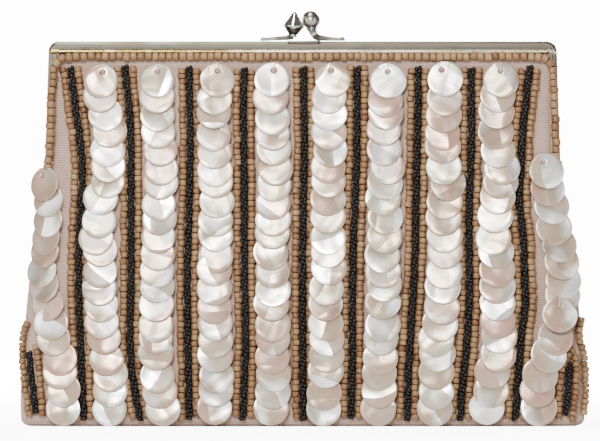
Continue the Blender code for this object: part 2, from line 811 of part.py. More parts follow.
def shingled_bar(work, k, steps, ends, side):
    """One of the back's columns: a bar that steps out at each disc's lower edge."""
    high = DISC_FACE + DISC_RADIUS * math.sin(DISC_TILT)
    face = [HALF_BAR * share for share in (-1, -0.45, 0.45, 1)]

    def ring(z, level, arched):
        made = []
        section = [(offset, level) for offset in face]
        for offset, out in section + [(HALF_BAR, BAR_FOOT), (-HALF_BAR, BAR_FOOT)]:
            rise = DISC_RADIUS - math.sqrt(DISC_RADIUS**2 - offset**2) if arched else 0
            made.append(seat(column_x(k, z + rise) + offset, z + rise, out, side)[0])
        return made

    top, bottom = ends
    rings = [ring(top, DISC_FACE, False)]
    for z in steps:
        rings.append(ring(z, high, True))
        rings.append(ring(z - STEP_RUN, DISC_FACE, True))
    rings.append(ring(bottom, mix(DISC_FACE, high, 0.5), False))
    loft(work, rings)


def back_beadwork(name, heights, with_sides, discs, ends, side, parent):
    """The back's beadwork as one relief: a web with ridges for strips, and a bar for each column."""

    def web(work):
        rings = []
        for z in heights:
            stations = ridge_stations(z, with_sides)
            feet = [x for x, level in stations if level not in (STRIP_CREST, STRIP_VALLEY)]
            outer = [seat(x, z, level, side)[0] for x, level in stations]
            inner = [seat(x, z, CLEARANCE * 1.5, side)[0] for x in feet]
            for point in outer + inner:
                point.z = z
            rings.append(outer + inner[::-1])
        loft(work, rings)

    def bars(work):
        steps = [z - DISC_RADIUS for z in discs]
        for k in range(STRIPS - 1):
            shingled_bar(work, k, steps, ends, side)

    helper = add(name + "_bars", mesh_from(name + "_bars", bars), SHELL, None, CUTTERS)
    relief = add(name, mesh_from(name, web), BEADS, parent)
    boolean(relief, helper, "UNION")


def clasp_arm(name, side, parent, finial_height, finial_x):
    """A springy strip over the rail, bent up to carry the finial."""
    x_side = -side
    middle_y = side * CHANNEL_MIDDLE
    base = FRAME_TOP + CLEARANCE
    bend = mix(FOOT_INNER_X, finial_x, 0.35)
    stations = (
        (FOOT_END, FOOT_THIN / 2, FOOT_THIN, 0.85, 0),
        (CLASP_RIVET_X, FOOT_THIN * 0.55, FOOT_THIN * 1.1, 1, 0),
        (mix(CLASP_RIVET_X, FOOT_INNER_X, 0.5), FOOT_THICK * 0.45, FOOT_THICK * 0.9, 1, 0),
        (FOOT_INNER_X + FOOT_THICK, FOOT_THICK * 0.5, FOOT_THICK, 0.9, 0),
        (bend, FOOT_THICK * 0.95, FOOT_THICK * 0.9, 0.7, 0.3),
        (mix(bend, finial_x, 0.8), finial_height * 0.62, FOOT_THICK * 0.8, 0.52, 0.75),
        (finial_x, finial_height, FOOT_THICK * 0.8, 0.45, 1),
    )
    centres = []
    for x, z, _, _, lean in stations:
        centres.append(Vector((x_side * x, mix(middle_y, -side * CLASP_LEAN, lean), base + z)))

    def build(work):
        rings = []
        for k, (_, _, thick, wide, _) in enumerate(stations):
            before = centres[max(k - 1, 0)]
            after = centres[min(k + 1, len(centres) - 1)]
            along = after - before
            along.y = 0
            if k < 3:
                along.z = 0
            if k == len(stations) - 1:
                along = Vector((0, 0, 1))
            along.normalize()
            up = Vector((-along.z * -x_side, 0, along.x * -x_side))
            half = FOOT_WIDTH / 2 * wide
            ring = []
            for a, b in ((-1, -1), (1, -1), (1, 0.3), (0.7, 1), (-0.7, 1), (-1, 0.3)):
                ring.append(centres[k] + Vector((0, a * half, 0)) + up * (b * thick / 2))
            rings.append(ring)
        loft(work, rings)

    arm = add(name, mesh_from(name, build), NICKEL, parent)
    boolean(arm, clasp_drill(name + "_drill", side), "DIFFERENCE")


def clasp_rivet(name, side, parent):
    """The rivet that holds the arm's outer end down on the rail."""
    head = FRAME_TOP + CLEARANCE + FOOT_THIN * 1.1 + 0.0004
    foot = FRAME_TOP - CHANNEL_WALL
    profile = (
        (0, head + CLASP_RIVET_HEAD),
        (CLASP_RIVET_HEAD_RADIUS * 0.7, head + CLASP_RIVET_HEAD * 0.85),
        (CLASP_RIVET_HEAD_RADIUS, head + CLASP_RIVET_HEAD * 0.3),
        (CLASP_RIVET_HEAD_RADIUS, head),
        (CLASP_RIVET_RADIUS, head),
        (CLASP_RIVET_RADIUS, foot),
        (0, foot),
    )
    place = (-side * CLASP_RIVET_X, side * CHANNEL_MIDDLE, 0)
    turned(name, profile, place, Matrix.Identity(4), NICKEL, parent, 14)


def finial(name, side, profile, x, base, parent):
    """A turned knob on top of its arm, leaning a little over the other half."""
    place = (-side * x, -side * CLASP_LEAN, base)
    lean = Matrix.Rotation(-side * FINIAL_LEAN, 4, "Y")
    turned(name, profile, place, lean, NICKEL, parent)


def ball_profile():
    points = []
    steps = 7
    low = math.radians(158)
    for k in range(steps + 1):
        turn = low * k / steps
        points.append((BALL_RADIUS * math.sin(turn), BALL_RADIUS * (1.08 * math.cos(turn))))
    foot = -BALL_RADIUS * 1.02
    points += [
        (COLLAR_RADIUS, foot),
        (COLLAR_RADIUS, foot - COLLAR_HEIGHT),
        (NECK_RADIUS, foot - COLLAR_HEIGHT * 1.2),
        (NECK_RADIUS, foot - COLLAR_HEIGHT * 1.8),
        (0, foot - COLLAR_HEIGHT * 1.8),
    ]
    return points


def cone_profile():
    return (
        (0, CONE_POINT),
        (CONE_RADIUS * 0.16, CONE_POINT * 0.9),
        (CONE_RADIUS * 0.94, CONE_POINT * 0.08),
        (CONE_RADIUS, 0),
        (CONE_RADIUS * 0.92, -CONE_FOOT * 0.12),
        (NECK_RADIUS, -CONE_FOOT * 0.8),
        (COLLAR_RADIUS * 0.8, -CONE_FOOT * 0.82),
        (COLLAR_RADIUS * 0.8, -CONE_FOOT),
        (0, -CONE_FOOT),
    )


def clasp(front_frame, back_frame):
    """The kiss-lock: a ball on the front half and a double cone on the back half."""
    pivot_z = FRAME_TOP + CLEARANCE + FOOT_THIN
    front_axis = axis_empty("front_clasp_axis", (CLASP_RIVET_X, -CHANNEL_MIDDLE, pivot_z))
    back_axis = axis_empty("back_clasp_axis", (-CLASP_RIVET_X, CHANNEL_MIDDLE, pivot_z))
    ball_x = BALL_RADIUS + CLASP_PLAY
    cone_x = CONE_RADIUS + CLASP_PLAY / 2
    base = FRAME_TOP + CLEARANCE
    ball_foot = BALL_HEIGHT - BALL_RADIUS * 1.02 - COLLAR_HEIGHT * 1.8
    cone_foot = CONE_HEIGHT - CONE_FOOT
    clasp_arm("front_clasp_arm", -1, front_axis, ball_foot - CLEARANCE, ball_x)
    clasp_arm("back_clasp_arm", 1, back_axis, cone_foot - CLEARANCE, cone_x)
    finial("front_clasp_ball", -1, ball_profile(), ball_x, base + BALL_HEIGHT, front_axis)
    finial("back_clasp_cone", 1, cone_profile(), cone_x, base + CONE_HEIGHT, back_axis)
    clasp_rivet("front_clasp_rivet", -1, front_frame)
    clasp_rivet("back_clasp_rivet", 1, back_frame)


def main():
    hinge = (0, 0, HINGE_HEIGHT)
    front = axis_empty("front_frame_axis", hinge)
    back = axis_empty("back_frame_axis", hinge)
    inner_ear = INNER_EAR_FACE + EAR_THICKNESS / 2
    outer_ear = HINGE_HALF_WIDTH - EAR_THICKNESS / 2
    frame_half("front_frame", -1, inner_ear, front)
    frame_half("back_frame", 1, outer_ear, back)
    hinge_rivets()
    frame_cord("front_frame_cord", -1, front)
    frame_cord("back_frame_cord", 1, back)
    pouch_bag("pouch_cloth", 0, CLOTH, 0, 28, BLUSH_CLOTH)
    lining_inset = CLOTH + CLEARANCE * 1.4
    pouch_bag("pouch_lining", lining_inset, LINING, lining_inset, 28, LINING_CLOTH)
    lining_back = CLOTH + CLEARANCE + LINING / 2
    for label, side, hung in (("front", -1, front), ("back", 1, back)):
        upper_sheet(f"{label}_cloth_upper", side, CLOTH / 2, CLOTH, BLUSH_CLOTH, hung)
        upper_sheet(f"{label}_lining_upper", side, lining_back, LINING, LINING_CLOTH, hung)
        border(f"{label}_border", side, hung)
    strips(-1, front)
    corner_strips(-1)
    full_columns(-1, front)
    side_columns(-1)
    discs = disc_heights()
    upper = [SPLIT_HEIGHT, mix(SPLIT_HEIGHT, STRIP_TOP, 0.5), STRIP_TOP]
    ends = (discs[0] + DISC_RADIUS * 0.8, SPLIT_HEIGHT + CLEARANCE)
    back_beadwork("back_beadwork_upper", upper, False, discs[:UPPER_DISCS], ends, 1, back)
    lower = [STRIP_BOTTOM, WIDEST_HEIGHT, DEEPEST_HEIGHT]
    lower += [mix(DEEPEST_HEIGHT, POUCH_RIM, share) for share in (0.35, 0.68, 1)]
    ends = (POUCH_RIM - CLEARANCE, STRIP_BOTTOM + CLEARANCE)
    whole = [z for z in discs if z < POUCH_RIM and z - DISC_RADIUS > STRIP_BOTTOM]
    back_beadwork("back_beadwork_lower", lower, True, whole, ends, 1, None)
    clasp(front, back)


main()
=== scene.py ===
import math

import bpy
import numpy as np
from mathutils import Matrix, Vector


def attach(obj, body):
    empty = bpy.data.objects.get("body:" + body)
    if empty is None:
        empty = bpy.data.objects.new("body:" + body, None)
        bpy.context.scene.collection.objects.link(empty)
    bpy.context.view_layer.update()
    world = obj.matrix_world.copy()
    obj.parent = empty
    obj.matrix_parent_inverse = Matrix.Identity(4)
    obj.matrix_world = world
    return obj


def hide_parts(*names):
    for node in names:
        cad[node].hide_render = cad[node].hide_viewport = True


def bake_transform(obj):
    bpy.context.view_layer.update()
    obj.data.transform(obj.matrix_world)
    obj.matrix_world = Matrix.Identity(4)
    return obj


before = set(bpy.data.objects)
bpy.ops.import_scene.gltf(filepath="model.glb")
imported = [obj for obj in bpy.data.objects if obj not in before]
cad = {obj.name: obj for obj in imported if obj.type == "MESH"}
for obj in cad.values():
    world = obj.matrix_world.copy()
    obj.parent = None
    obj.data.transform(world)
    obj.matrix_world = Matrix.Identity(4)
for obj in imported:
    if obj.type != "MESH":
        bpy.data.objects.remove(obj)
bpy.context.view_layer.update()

# A beaded clutch, closed and standing on its flat bottom. Metres, +Z up, its front towards -Y.
#
# The cloth of the bag: pale blush faille, a silk with fine cross ribs, over a stiff interlining.
# A front and a back panel meet in a seam down each side and under the flat bottom, and the top of
# each is held in the channel of its half of the frame.
FRAME_HALF_WIDTH = 0.107
FRAME_TOP = 0.1621
HINGE_HEIGHT = 0.110
LEG_SPLAY = 0.0017
LEG_FACE = 0.0034
RAIL_FACE = 0.005
CORNER_RADIUS = 0.0042
CHANNEL_MIDDLE = 0.0027
CLOTH_INSET = 0.0026
CLOTH = 0.0012
RIVET_REACH = 0.10546
RIM_DROP = 0.008
BAG_HALF_WIDTH = 0.1190
BAG_HALF_DEPTH = 0.014
WIDEST_HEIGHT = 0.012
DEEPEST_HEIGHT = 0.038
BOTTOM_RADIUS = 0.0035
BELLY_TUCK = 0.001
SIDE_TUCK = 0.0003
EDGE_SLACK = 0.0005
RAIL_BOTTOM = FRAME_TOP - RAIL_FACE
POUCH_RIM = HINGE_HEIGHT - RIM_DROP
HINGE_HALF_WIDTH = FRAME_HALF_WIDTH + LEG_SPLAY
CLOTH_TOP = FRAME_TOP - CLOTH_INSET
EDGE_DEPTH = CHANNEL_MIDDLE + CLOTH / 2
EAR_LOW, EAR_HIGH = 0.0063, 0.009
PANEL_COLUMNS = 141
WALL_ROWS, FOOT_ROWS = 112, 8
WALL_END, FOOT_START = 0.006, 0.0049
RIPPLE = 0.00022
CLOTH_SHOWN = 0.0009
FAILLE_PITCH = 0.00105
CLOTH_RELIEF = 0.0002
SEED = 11
rng = np.random.default_rng(SEED)


def mix(a, b, share):
    return a + (b - a) * share


def smooth_step(low, high, value):
    share = np.clip((np.asarray(value, float) - low) / (high - low), 0, 1)
    return share * share * (3 - 2 * share)


def half_size(z, widest, narrow, swell, top, tuck):
    """Half the width or depth: rounded at the foot, widest at the swell and narrow at the top."""
    z = np.asarray(z, float)
    rest = np.clip(1 - z / BOTTOM_RADIUS, 0, 1)
    under = tuck * np.clip(1 - z / swell, 0, 1) ** 2
    taper = np.clip((z - swell) / (top - swell), 0, 1) ** 1.5
    return mix(widest, narrow, taper) - under - BOTTOM_RADIUS * (1 - np.sqrt(1 - rest * rest))


def half_width(z):
    return half_size(z, BAG_HALF_WIDTH, HINGE_HALF_WIDTH, WIDEST_HEIGHT, HINGE_HEIGHT, SIDE_TUCK)


def half_depth(z):
    return half_size(z, BAG_HALF_DEPTH, EDGE_DEPTH, DEEPEST_HEIGHT, RAIL_BOTTOM, BELLY_TUCK)


def leg_outer(z):
    return FRAME_HALF_WIDTH + LEG_SPLAY * (FRAME_TOP - z) / (FRAME_TOP - HINGE_HEIGHT)


def framed_edge(z):
    """How far out the framed cloth reaches: into the channel of the leg, and clear of the rivet."""
    inner = CORNER_RADIUS - CLOTH_INSET
    rest = np.clip(1 - (CLOTH_TOP - z) / inner, 0, 1)
    leg = leg_outer(z) - CLOTH_INSET - inner * (1 - np.sqrt(1 - rest * rest))
    return mix(RIVET_REACH, leg, smooth_step(HINGE_HEIGHT + EAR_LOW, HINGE_HEIGHT + EAR_HIGH, z))


def panel_depth(x, z):
    """The framed cloth's face: it leaves the channel and swells forward."""
    across = np.clip(np.abs(x) / (leg_outer(z) - LEG_FACE - EDGE_SLACK), 0, 1)
    return EDGE_DEPTH + (half_depth(z) - EDGE_DEPTH) * np.sqrt(1 - across**6)


def pouch_depth(x, z):
    across = np.clip(np.abs(x) / half_width(z), 0, 0.995)
    return half_depth(z) * (1 - across**4) ** 0.25


def cloth_depth(x, z):
    """Half the bag's depth at a place on its face, all the way up."""
    share = smooth_step(POUCH_RIM, HINGE_HEIGHT + RIM_DROP, z)
    return mix(pouch_depth(x, z), panel_depth(x, z), share)


def ripple(x, z):
    """The small hollows and swellings of hand-sewn cloth, still at the frame and the bottom."""
    waves = np.sin(310 * x + 3 * np.sin(70 * z)) * np.sin(190 * z + 2 * np.sin(60 * x))
    waves = waves + 0.6 * np.sin(820 * x + 5 * np.sin(160 * z))
    calm = smooth_step(0, 0.012, z) * (1 - smooth_step(HINGE_HEIGHT, RAIL_BOTTOM - 0.004, z))
    return RIPPLE * waves * calm


def unit(vectors):
    return vectors / np.linalg.norm(vectors, axis=-1, keepdims=True)


def seat(x, z, height, side):
    """Points at this height over the cloth's face, and the way out from the cloth at each."""
    x, z = np.broadcast_arrays(np.asarray(x, float), np.asarray(z, float))
    step = 0.0005
    slope_x = (cloth_depth(x + step, z) - cloth_depth(x - step, z)) / (2 * step)
    slope_z = (cloth_depth(x, z + step) - cloth_depth(x, z - step)) / (2 * step)
    out = unit(np.stack([-slope_x, np.full(x.shape, float(side)), -slope_z], -1))
    return np.stack([x, side * cloth_depth(x, z), z], -1) + out * np.asarray(height)[..., None], out


def in_scene(name, data):
    made = bpy.data.objects.new(name, data)
    bpy.context.scene.collection.objects.link(made)
    return made


def piece_from(name, points, quads):
    """A smooth-shaded object made of four-sided faces."""
    mesh = bpy.data.meshes.new(name)
    mesh.from_pydata(points.reshape(-1, 3).tolist(), [], quads.reshape(-1, 4).tolist())
    mesh.shade_smooth()
    return in_scene(name, mesh)


def panel_points(side, inset):
    """A panel as rows of points, from the frame down to the flat bottom and in to its middle."""
    across = np.sin(np.linspace(-math.pi / 2, math.pi / 2, PANEL_COLUMNS))
    wall = np.linspace(CLOTH_TOP, WALL_END, WALL_ROWS)
    heights = np.concatenate([wall, np.linspace(FOOT_START, 0, FOOT_ROWS)])
    rounded = np.clip(1 - across**4, 0, 1) ** 0.25
    rows = []
    for z in heights:
        wide = mix(half_width(z), framed_edge(z), smooth_step(POUCH_RIM, HINGE_HEIGHT, z)) - inset
        x = across * wide
        share = smooth_step(POUCH_RIM, HINGE_HEIGHT + RIM_DROP, z)
        y = mix((half_depth(z) - inset) * rounded, panel_depth(x, z) - inset, share)
        y = y + ripple(x, z) * rounded
        rows.append(np.stack([x, side * y, np.full(x.shape, max(z, inset))], -1))
    for share in (0.66, 0.33, 0.0):
        rows.append(rows[len(heights) - 1] * (1, share, 1))
    return np.array(rows)


def bag_panel(name, side, inset, thickness):
    points = panel_points(side, inset)
    index = np.arange(points[..., 0].size).reshape(points.shape[:2])
    quads = np.stack([index[:-1, :-1], index[:-1, 1:], index[1:, 1:], index[1:, :-1]], -1)
    panel = piece_from(name, points, quads[..., ::side])
    wall = panel.modifiers.new("thickness", "SOLIDIFY")
    wall.thickness = thickness
    wall.offset = -1
    return panel


def over_hinge(piece):
    """Bakes the piece's placing into its points."""
    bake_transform(piece)


def new_finish(name):
    """An empty material with its shader, and its node tree to add to."""
    made = bpy.data.materials.new(name)
    made.use_nodes = True
    return made, made.node_tree, made.node_tree.nodes["Principled BSDF"].inputs


def fill(tree, inputs, values):
    """Sets inputs by their names. A value that is a socket is linked to its input."""
    for key, value in values.items():
        if isinstance(value, bpy.types.NodeSocket):
            tree.links.new(value, inputs[key])
        else:
            inputs[key].default_value = value


def put(tree, kind, inputs=None, **settings):
    """A shader node with its settings and inputs."""
    made = tree.nodes.new("ShaderNode" + kind)
    for key, value in settings.items():
        setattr(made, key, value)
    fill(tree, made.inputs, inputs or {})
    return made


def sums(tree, operation, a, b=0.0, c=0.0):
    return put(tree, "Math", {0: a, 1: b, 2: c}, operation=operation).outputs[0]


def times(tree, a, b):
    return sums(tree, "MULTIPLY", a, b)


def scaled(tree, value, by, onto):
    return sums(tree, "MULTIPLY_ADD", value, by, onto)


def swayed(tree, pattern, amount, onto):
    """A value pushed up and down by a pattern that swings about its middle."""
    return scaled(tree, sums(tree, "SUBTRACT", pattern, 0.5), amount, onto)


def ranged(tree, value, low=0.0, high=1.0, start=0.0, end=1.0):
    """A value carried from one range to another and held at its ends."""
    return put(tree, "MapRange", {0: value, 1: low, 2: high, 3: start, 4: end}).outputs[0]


def noise(tree, place, scale, detail):
    return put(tree, "TexNoise", {"Vector": place, "Scale": scale, "Detail": detail}).outputs["Fac"]


def mixed(tree, share, first, second):
    return put(tree, "MixRGB", {"Fac": share, "Color1": first, "Color2": second}).outputs[0]


def shades(tree, share, *stops):
    """A ramp from one colour to the next, by share."""
    ramp = put(tree, "ValToRGB", {"Fac": share})
    made = ramp.color_ramp.elements
    while len(made) < len(stops):
        made.new(0.5)
    for element, (place, colour) in zip(made, stops):
        element.position = place
        element.color = (*colour, 1)
    return ramp.outputs["Color"]


def finish_with(tree, shader, colour, rough, height, strength, depth):
    """Gives a shader its colour, its roughness and its relief."""
    relief = put(tree, "Bump", {"Height": height, "Strength": strength, "Distance": depth}).outputs[0]
    fill(tree, shader, {"Base Color": colour, "Roughness": rough, "Normal": relief})


def new_effect(name, takes, *gives):
    """A node group shared by finishes. It takes a place and some numbers, and gives numbers."""
    tree = bpy.data.node_groups.new(name, "ShaderNodeTree")
    tree.interface.new_socket("Place", in_out="INPUT", socket_type="NodeSocketVector")
    for label, value in takes.items():
        socket = tree.interface.new_socket(label, in_out="INPUT", socket_type="NodeSocketFloat")
        socket.default_value = value
    for label in gives:
        tree.interface.new_socket(label, in_out="OUTPUT", socket_type="NodeSocketFloat")
    start, end = tree.nodes.new("NodeGroupInput"), tree.nodes.new("NodeGroupOutput")
    return tree, start.outputs, end.inputs


def give(tree, end, **values):
    fill(tree, end, values)
    return tree


def use(tree, effect, **takes):
    takes = {key.capitalize(): value for key, value in takes.items()}
    return put(tree, "Group", takes, node_tree=effect).outputs


def ribbed_effect():
    """Cross ribs of a faille or a satin, with the finer yarns between them."""
    tree, start, end = new_effect("ribbed_weave", {"Pitch": 0.001}, "Height", "Slub")
    slub = noise(tree, start["Place"], 170.0, 3.0)
    parts = put(tree, "SeparateXYZ", {"Vector": start["Place"]}).outputs
    turns = sums(tree, "DIVIDE", parts["Z"], start["Pitch"])
    turns = scaled(tree, slub, 0.35, turns)
    rib = sums(tree, "SINE", times(tree, turns, math.tau))
    yarn_turns = sums(tree, "DIVIDE", parts["X"], times(tree, start["Pitch"], 0.33))
    yarn = sums(tree, "SINE", times(tree, yarn_turns, math.tau))
    height = scaled(tree, yarn, 0.25, times(tree, rib, 0.6))
    return give(tree, end, Height=scaled(tree, height, 0.5, 0.5), Slub=slub)


ribbed_weave = ribbed_effect()


def cloth_finish(name, pitch, low, high, roughness, sheen, bump):
    made, tree, shader = new_finish(name)
    place = put(tree, "TexCoord").outputs["Object"]
    weave = use(tree, ribbed_weave, place=place, pitch=pitch)
    broad = noise(tree, place, 26.0, 2.0)
    share = scaled(tree, broad, 0.55, times(tree, weave["Height"], 0.45))
    colour = shades(tree, share, (0.25, low), (0.75, high))
    rough = ranged(tree, weave["Slub"], start=roughness - 0.07, end=roughness + 0.07)
    finish_with(tree, shader, colour, rough, weave["Height"], bump, CLOTH_RELIEF)
    fill(tree, shader, {"Sheen Weight": sheen, "Sheen Roughness": 0.4})
    return made


def made_of(piece, finish):
    piece.data.materials.append(finish)


blush_low, blush_high = (0.24, 0.145, 0.108), (0.44, 0.305, 0.245)
faille = cloth_finish("blush_faille", FAILLE_PITCH, blush_low, blush_high, 0.75, 0.05, 1.0)
for side, name in ((-1, "front_cloth"), (1, "back_cloth")):
    panel = bag_panel(name, side, 0, CLOTH_SHOWN)
    made_of(panel, faille)
    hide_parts("pouch_cloth", name + "_upper")
    over_hinge(panel)

# The lining: plain warm satin, cut like the cloth and sewn inside it, a little smaller all round.
# It goes up into the frame's channels with the cloth.
LINING_INSET = 0.00165
LINING_SHOWN = 0.0004
SATIN_PITCH = 0.0004
satin = cloth_finish("lining_satin", SATIN_PITCH, (0.42, 0.29, 0.205), (0.56, 0.42, 0.32), 0.5, 0.1, 0.25)
for side, name in ((-1, "front_lining"), (1, "back_lining")):
    panel = bag_panel(name, side, LINING_INSET, LINING_SHOWN)
    made_of(panel, satin)
    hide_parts("pouch_lining", name + "_upper")
    over_hinge(panel)

# The paper cord: a hard twist of brown kraft paper, pressed into each channel over the cloth's edge
# before the channel is crimped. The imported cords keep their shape.
CORD_TWIST = 0.0016
CORD_RELIEF = 0.0002


def kraft_finish():
    made, tree, shader = new_finish("kraft_paper")
    place = put(tree, "TexCoord").outputs["Object"]
    parts = put(tree, "SeparateXYZ", {"Vector": place}).outputs
    run = sums(tree, "ADD", sums(tree, "ADD", parts["X"], parts["Z"]), parts["Y"])
    twist = sums(tree, "SINE", times(tree, run, math.tau / CORD_TWIST))
    twist = scaled(tree, twist, 0.5, 0.5)
    fibre = noise(tree, place, 900.0, 4.0)
    share = scaled(tree, twist, 0.5, times(tree, fibre, 0.5))
    colour = shades(tree, share, (0.2, (0.20, 0.13, 0.07)), (0.8, (0.42, 0.30, 0.18)))
    finish_with(tree, shader, colour, 0.9, twist, 0.8, CORD_RELIEF)
    return made


def dress(finish, *names):
    """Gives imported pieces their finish."""
    for name in names:
        slots = cad[name].data.materials
        slots.clear()
        slots.append(finish)


dress(kraft_finish(), "front_frame_cord", "back_frame_cord")

# The frame: two bent channels of nickel-plated steel, pinned to each other through an ear at each
# end. The plate is worn dull along the rail and scratched lengthways. The rail's rolled lip is painted
# lighter than its face, a painted highlight, and yellow toward the left, a painted reflection of the
# tan beads. A dark band over the lip is painted shade.
PLATE_RELIEF = 0.0004


def worn_effect():
    """Handling wear: a broad dulling, fine scratches along the piece, and small pits."""
    tree, start, end = new_effect("handling_wear", {}, "Wear", "Scratches")
    stretched = put(tree, "Mapping", {"Vector": start["Place"], "Scale": (60, 900, 900)}).outputs[0]
    broad, pits = noise(tree, start["Place"], 55.0, 5.0), noise(tree, start["Place"], 1500.0, 2.0)
    wear = ranged(tree, scaled(tree, pits, 0.35, broad), 0.5, 0.85)
    return give(tree, end, Wear=wear, Scratches=noise(tree, stretched, 1.0, 4.0))


handling_wear = worn_effect()


def rolled_lip(tree, place):
    """The rail's lip: where it is, its round, the painted shade over it and its painted yellow reflection."""
    parts = put(tree, "SeparateXYZ", {"Vector": place}).outputs
    up = put(tree, "MapRange", {0: parts["Z"], 1: RAIL_BOTTOM, 2: FRAME_TOP}, clamp=False).outputs[0]
    top = ranged(tree, up, 0.28, 0.34, 1.0, 0.0)
    foot = ranged(tree, up, -0.1, 0.0)
    away = scaled(tree, up, 5.5, -0.8)
    bulge = sums(tree, "MAXIMUM", sums(tree, "SUBTRACT", 1.0, times(tree, away, away)), 0.0)
    painted_yellow_reflection = ranged(tree, parts["X"], -0.008, -0.035, 0.0, 0.85)
    painted_yellow_reflection = swayed(tree, noise(tree, place, 90.0, 3.0), 2.5, painted_yellow_reflection)
    painted_groove_shade = ranged(tree, up, 0.4, 0.62, 0.45, 0.0)
    return times(tree, top, foot), bulge, times(tree, painted_groove_shade, foot), painted_yellow_reflection


def nickel_finish(name, clean, dull, polish, lip=False):
    made, tree, shader = new_finish(name)
    place = put(tree, "TexCoord").outputs["Object"]
    worn = use(tree, handling_wear, place=place)
    colour = shades(tree, worn["Wear"], (0.2, clean), (0.9, dull))
    rough = scaled(tree, worn["Wear"], 0.12, polish)
    rough = scaled(tree, worn["Scratches"], 0.1, rough)
    height = times(tree, worn["Scratches"], 0.03)
    # On the rail the lip is painted much lighter than the face, a painted highlight, and yellow toward the
    # left, a painted reflection of the tan beads.
    if lip:
        share, bulge, painted_groove_shade, painted_yellow_reflection = rolled_lip(tree, place)
        painted_lip_colour = shades(tree, painted_yellow_reflection, (0.3, (0.60, 0.53, 0.39)), (0.8, (0.19, 0.138, 0.043)))
        # A near-black band in the groove over the lip: painted shade.
        colour = mixed(tree, painted_groove_shade, colour, (0.02, 0.018, 0.014, 1))
        colour = mixed(tree, share, colour, painted_lip_colour)
        rough = scaled(tree, share, -0.12, rough)
        height = sums(tree, "ADD", height, bulge)
    finish_with(tree, shader, colour, rough, height, 1.0, PLATE_RELIEF)
    shader["Metallic"].default_value = 1.0
    return made


nickel = nickel_finish("worn_nickel", (0.36, 0.34, 0.30), (0.24, 0.22, 0.18), 0.22)
dress(nickel, "hinge_rivet_left", "hinge_rivet_right")
rail_nickel = nickel_finish("rail_nickel", (0.125, 0.113, 0.088), (0.088, 0.078, 0.058), 0.22, lip=True)
dress(rail_nickel, "front_frame", "back_frame")

# The borders: drum beads of satin wood on a thread, one row under each rail and down both legs,
# laid on the cloth's edge and caught down with small stitches.
BORDER_RADIUS = 0.0018
BORDER_LOW, BORDER_HIGH = 0.0026, 0.0034
BORDER_ROW_Z = RAIL_BOTTOM - 0.0014
BORDER_ROW_Y = 0.0056
BORDER_LEG_Y = 0.0072
BORDER_END = HINGE_HEIGHT - 0.0022
BORDER_TURN = 0.004
BEAD_RELIEF = 0.0001
THREAD_RADIUS = 0.00022
THREAD_SIDES = 6
DRUM_SIDES = 12
NEARBY = 0.0004


def round_angles(sides):
    return np.arange(sides) * math.tau / sides


def ringed(rings, sides, closed=True, inward=False):
    """Quads over rings of points. closed joins the last ring to the first, inward turns them over."""
    index = np.arange(rings * sides).reshape(rings, sides)
    first, second = (index, np.roll(index, -1, 0)) if closed else (index[:-1], index[1:])
    beside, across = np.roll(first, -1, 1), np.roll(second, -1, 1)
    order = [first, second, across, beside] if inward else [first, beside, across, second]
    return np.stack(order, -1).reshape(-1, 4)


def ring_form(profile, sides):
    """A turned bead: a closed profile of (radius, height) round a hole, as points and quads."""
    turn = round_angles(sides)
    radius, height = np.array(profile).T[:, :, None]
    points = np.stack([radius * np.cos(turn), radius * np.sin(turn), height + 0 * turn], -1)
    return points.reshape(-1, 3), ringed(len(profile), sides, inward=True)


def leans(angles):
    """Turns about the three axes, from rows of three angles."""
    made = np.broadcast_to(np.eye(3), (len(angles), 3, 3))
    for axis in range(3):
        c, s = np.cos(angles[:, axis]), np.sin(angles[:, axis])
        turn = np.zeros((len(angles), 3, 3))
        i, j = (axis + 1) % 3, (axis + 2) % 3
        turn[:, axis, axis] = 1
        turn[:, i, i], turn[:, i, j], turn[:, j, i], turn[:, j, j] = c, -s, s, c
        made = made @ turn
    return made


def frames(along, out):
    """The turn that takes a bead's own axes to (across, out, along) at each place."""
    along = unit(along)
    across = unit(np.cross(out, along))
    return np.stack([across, np.cross(along, across), along], -1)


def mark(piece, name, values):
    """Writes values, one per point, where the piece's finish can read them."""
    kind, key = ("FLOAT", "value") if values.ndim == 1 else ("FLOAT_VECTOR", "vector")
    made = piece.data.attributes.new(name, kind, "POINT")
    made.data.foreach_set(key, values.astype(np.float32).ravel())


def strung(name, forms, quads, spots, turns, tints):
    """One piece of many like ones. Each has its own points, place, turn and tint."""
    count, each = len(spots), forms.shape[1]
    placed = np.einsum("kij,kpj->kpi", turns, forms) + spots[:, None, :]
    faces = quads[None] + (np.arange(count) * each)[:, None, None]
    piece = piece_from(name, placed, faces)
    mark(piece, "tint", np.repeat(tints, each))
    spin = leans(rng.uniform(0, math.tau, (count, 1)) * (0, 0, 1))
    own = np.einsum("kij,kpj->kpi", spin, forms * 100) + rng.uniform(0, 40, (count, 1, 3))
    mark(piece, "place", own.reshape(-1, 3))
    return piece


def tube_form(points, beside, closed=False):
    """A thread along a line of points. beside is a direction across it at each point."""
    if closed:
        along = unit(np.roll(points, -1, 0) - np.roll(points, 1, 0))
    else:
        along = unit(np.gradient(points, axis=0))
    other = np.cross(along, beside)
    turn = round_angles(THREAD_SIDES)[:, None]
    made = points[:, None] + (np.cos(turn) * beside[:, None] + np.sin(turn) * other[:, None]) * THREAD_RADIUS
    return made.reshape(-1, 3), ringed(len(points), THREAD_SIDES, closed)


def run_of(line):
    """How far along a line of points each of them is."""
    return np.concatenate([[0], np.cumsum(np.linalg.norm(np.diff(line, axis=0), axis=1))])


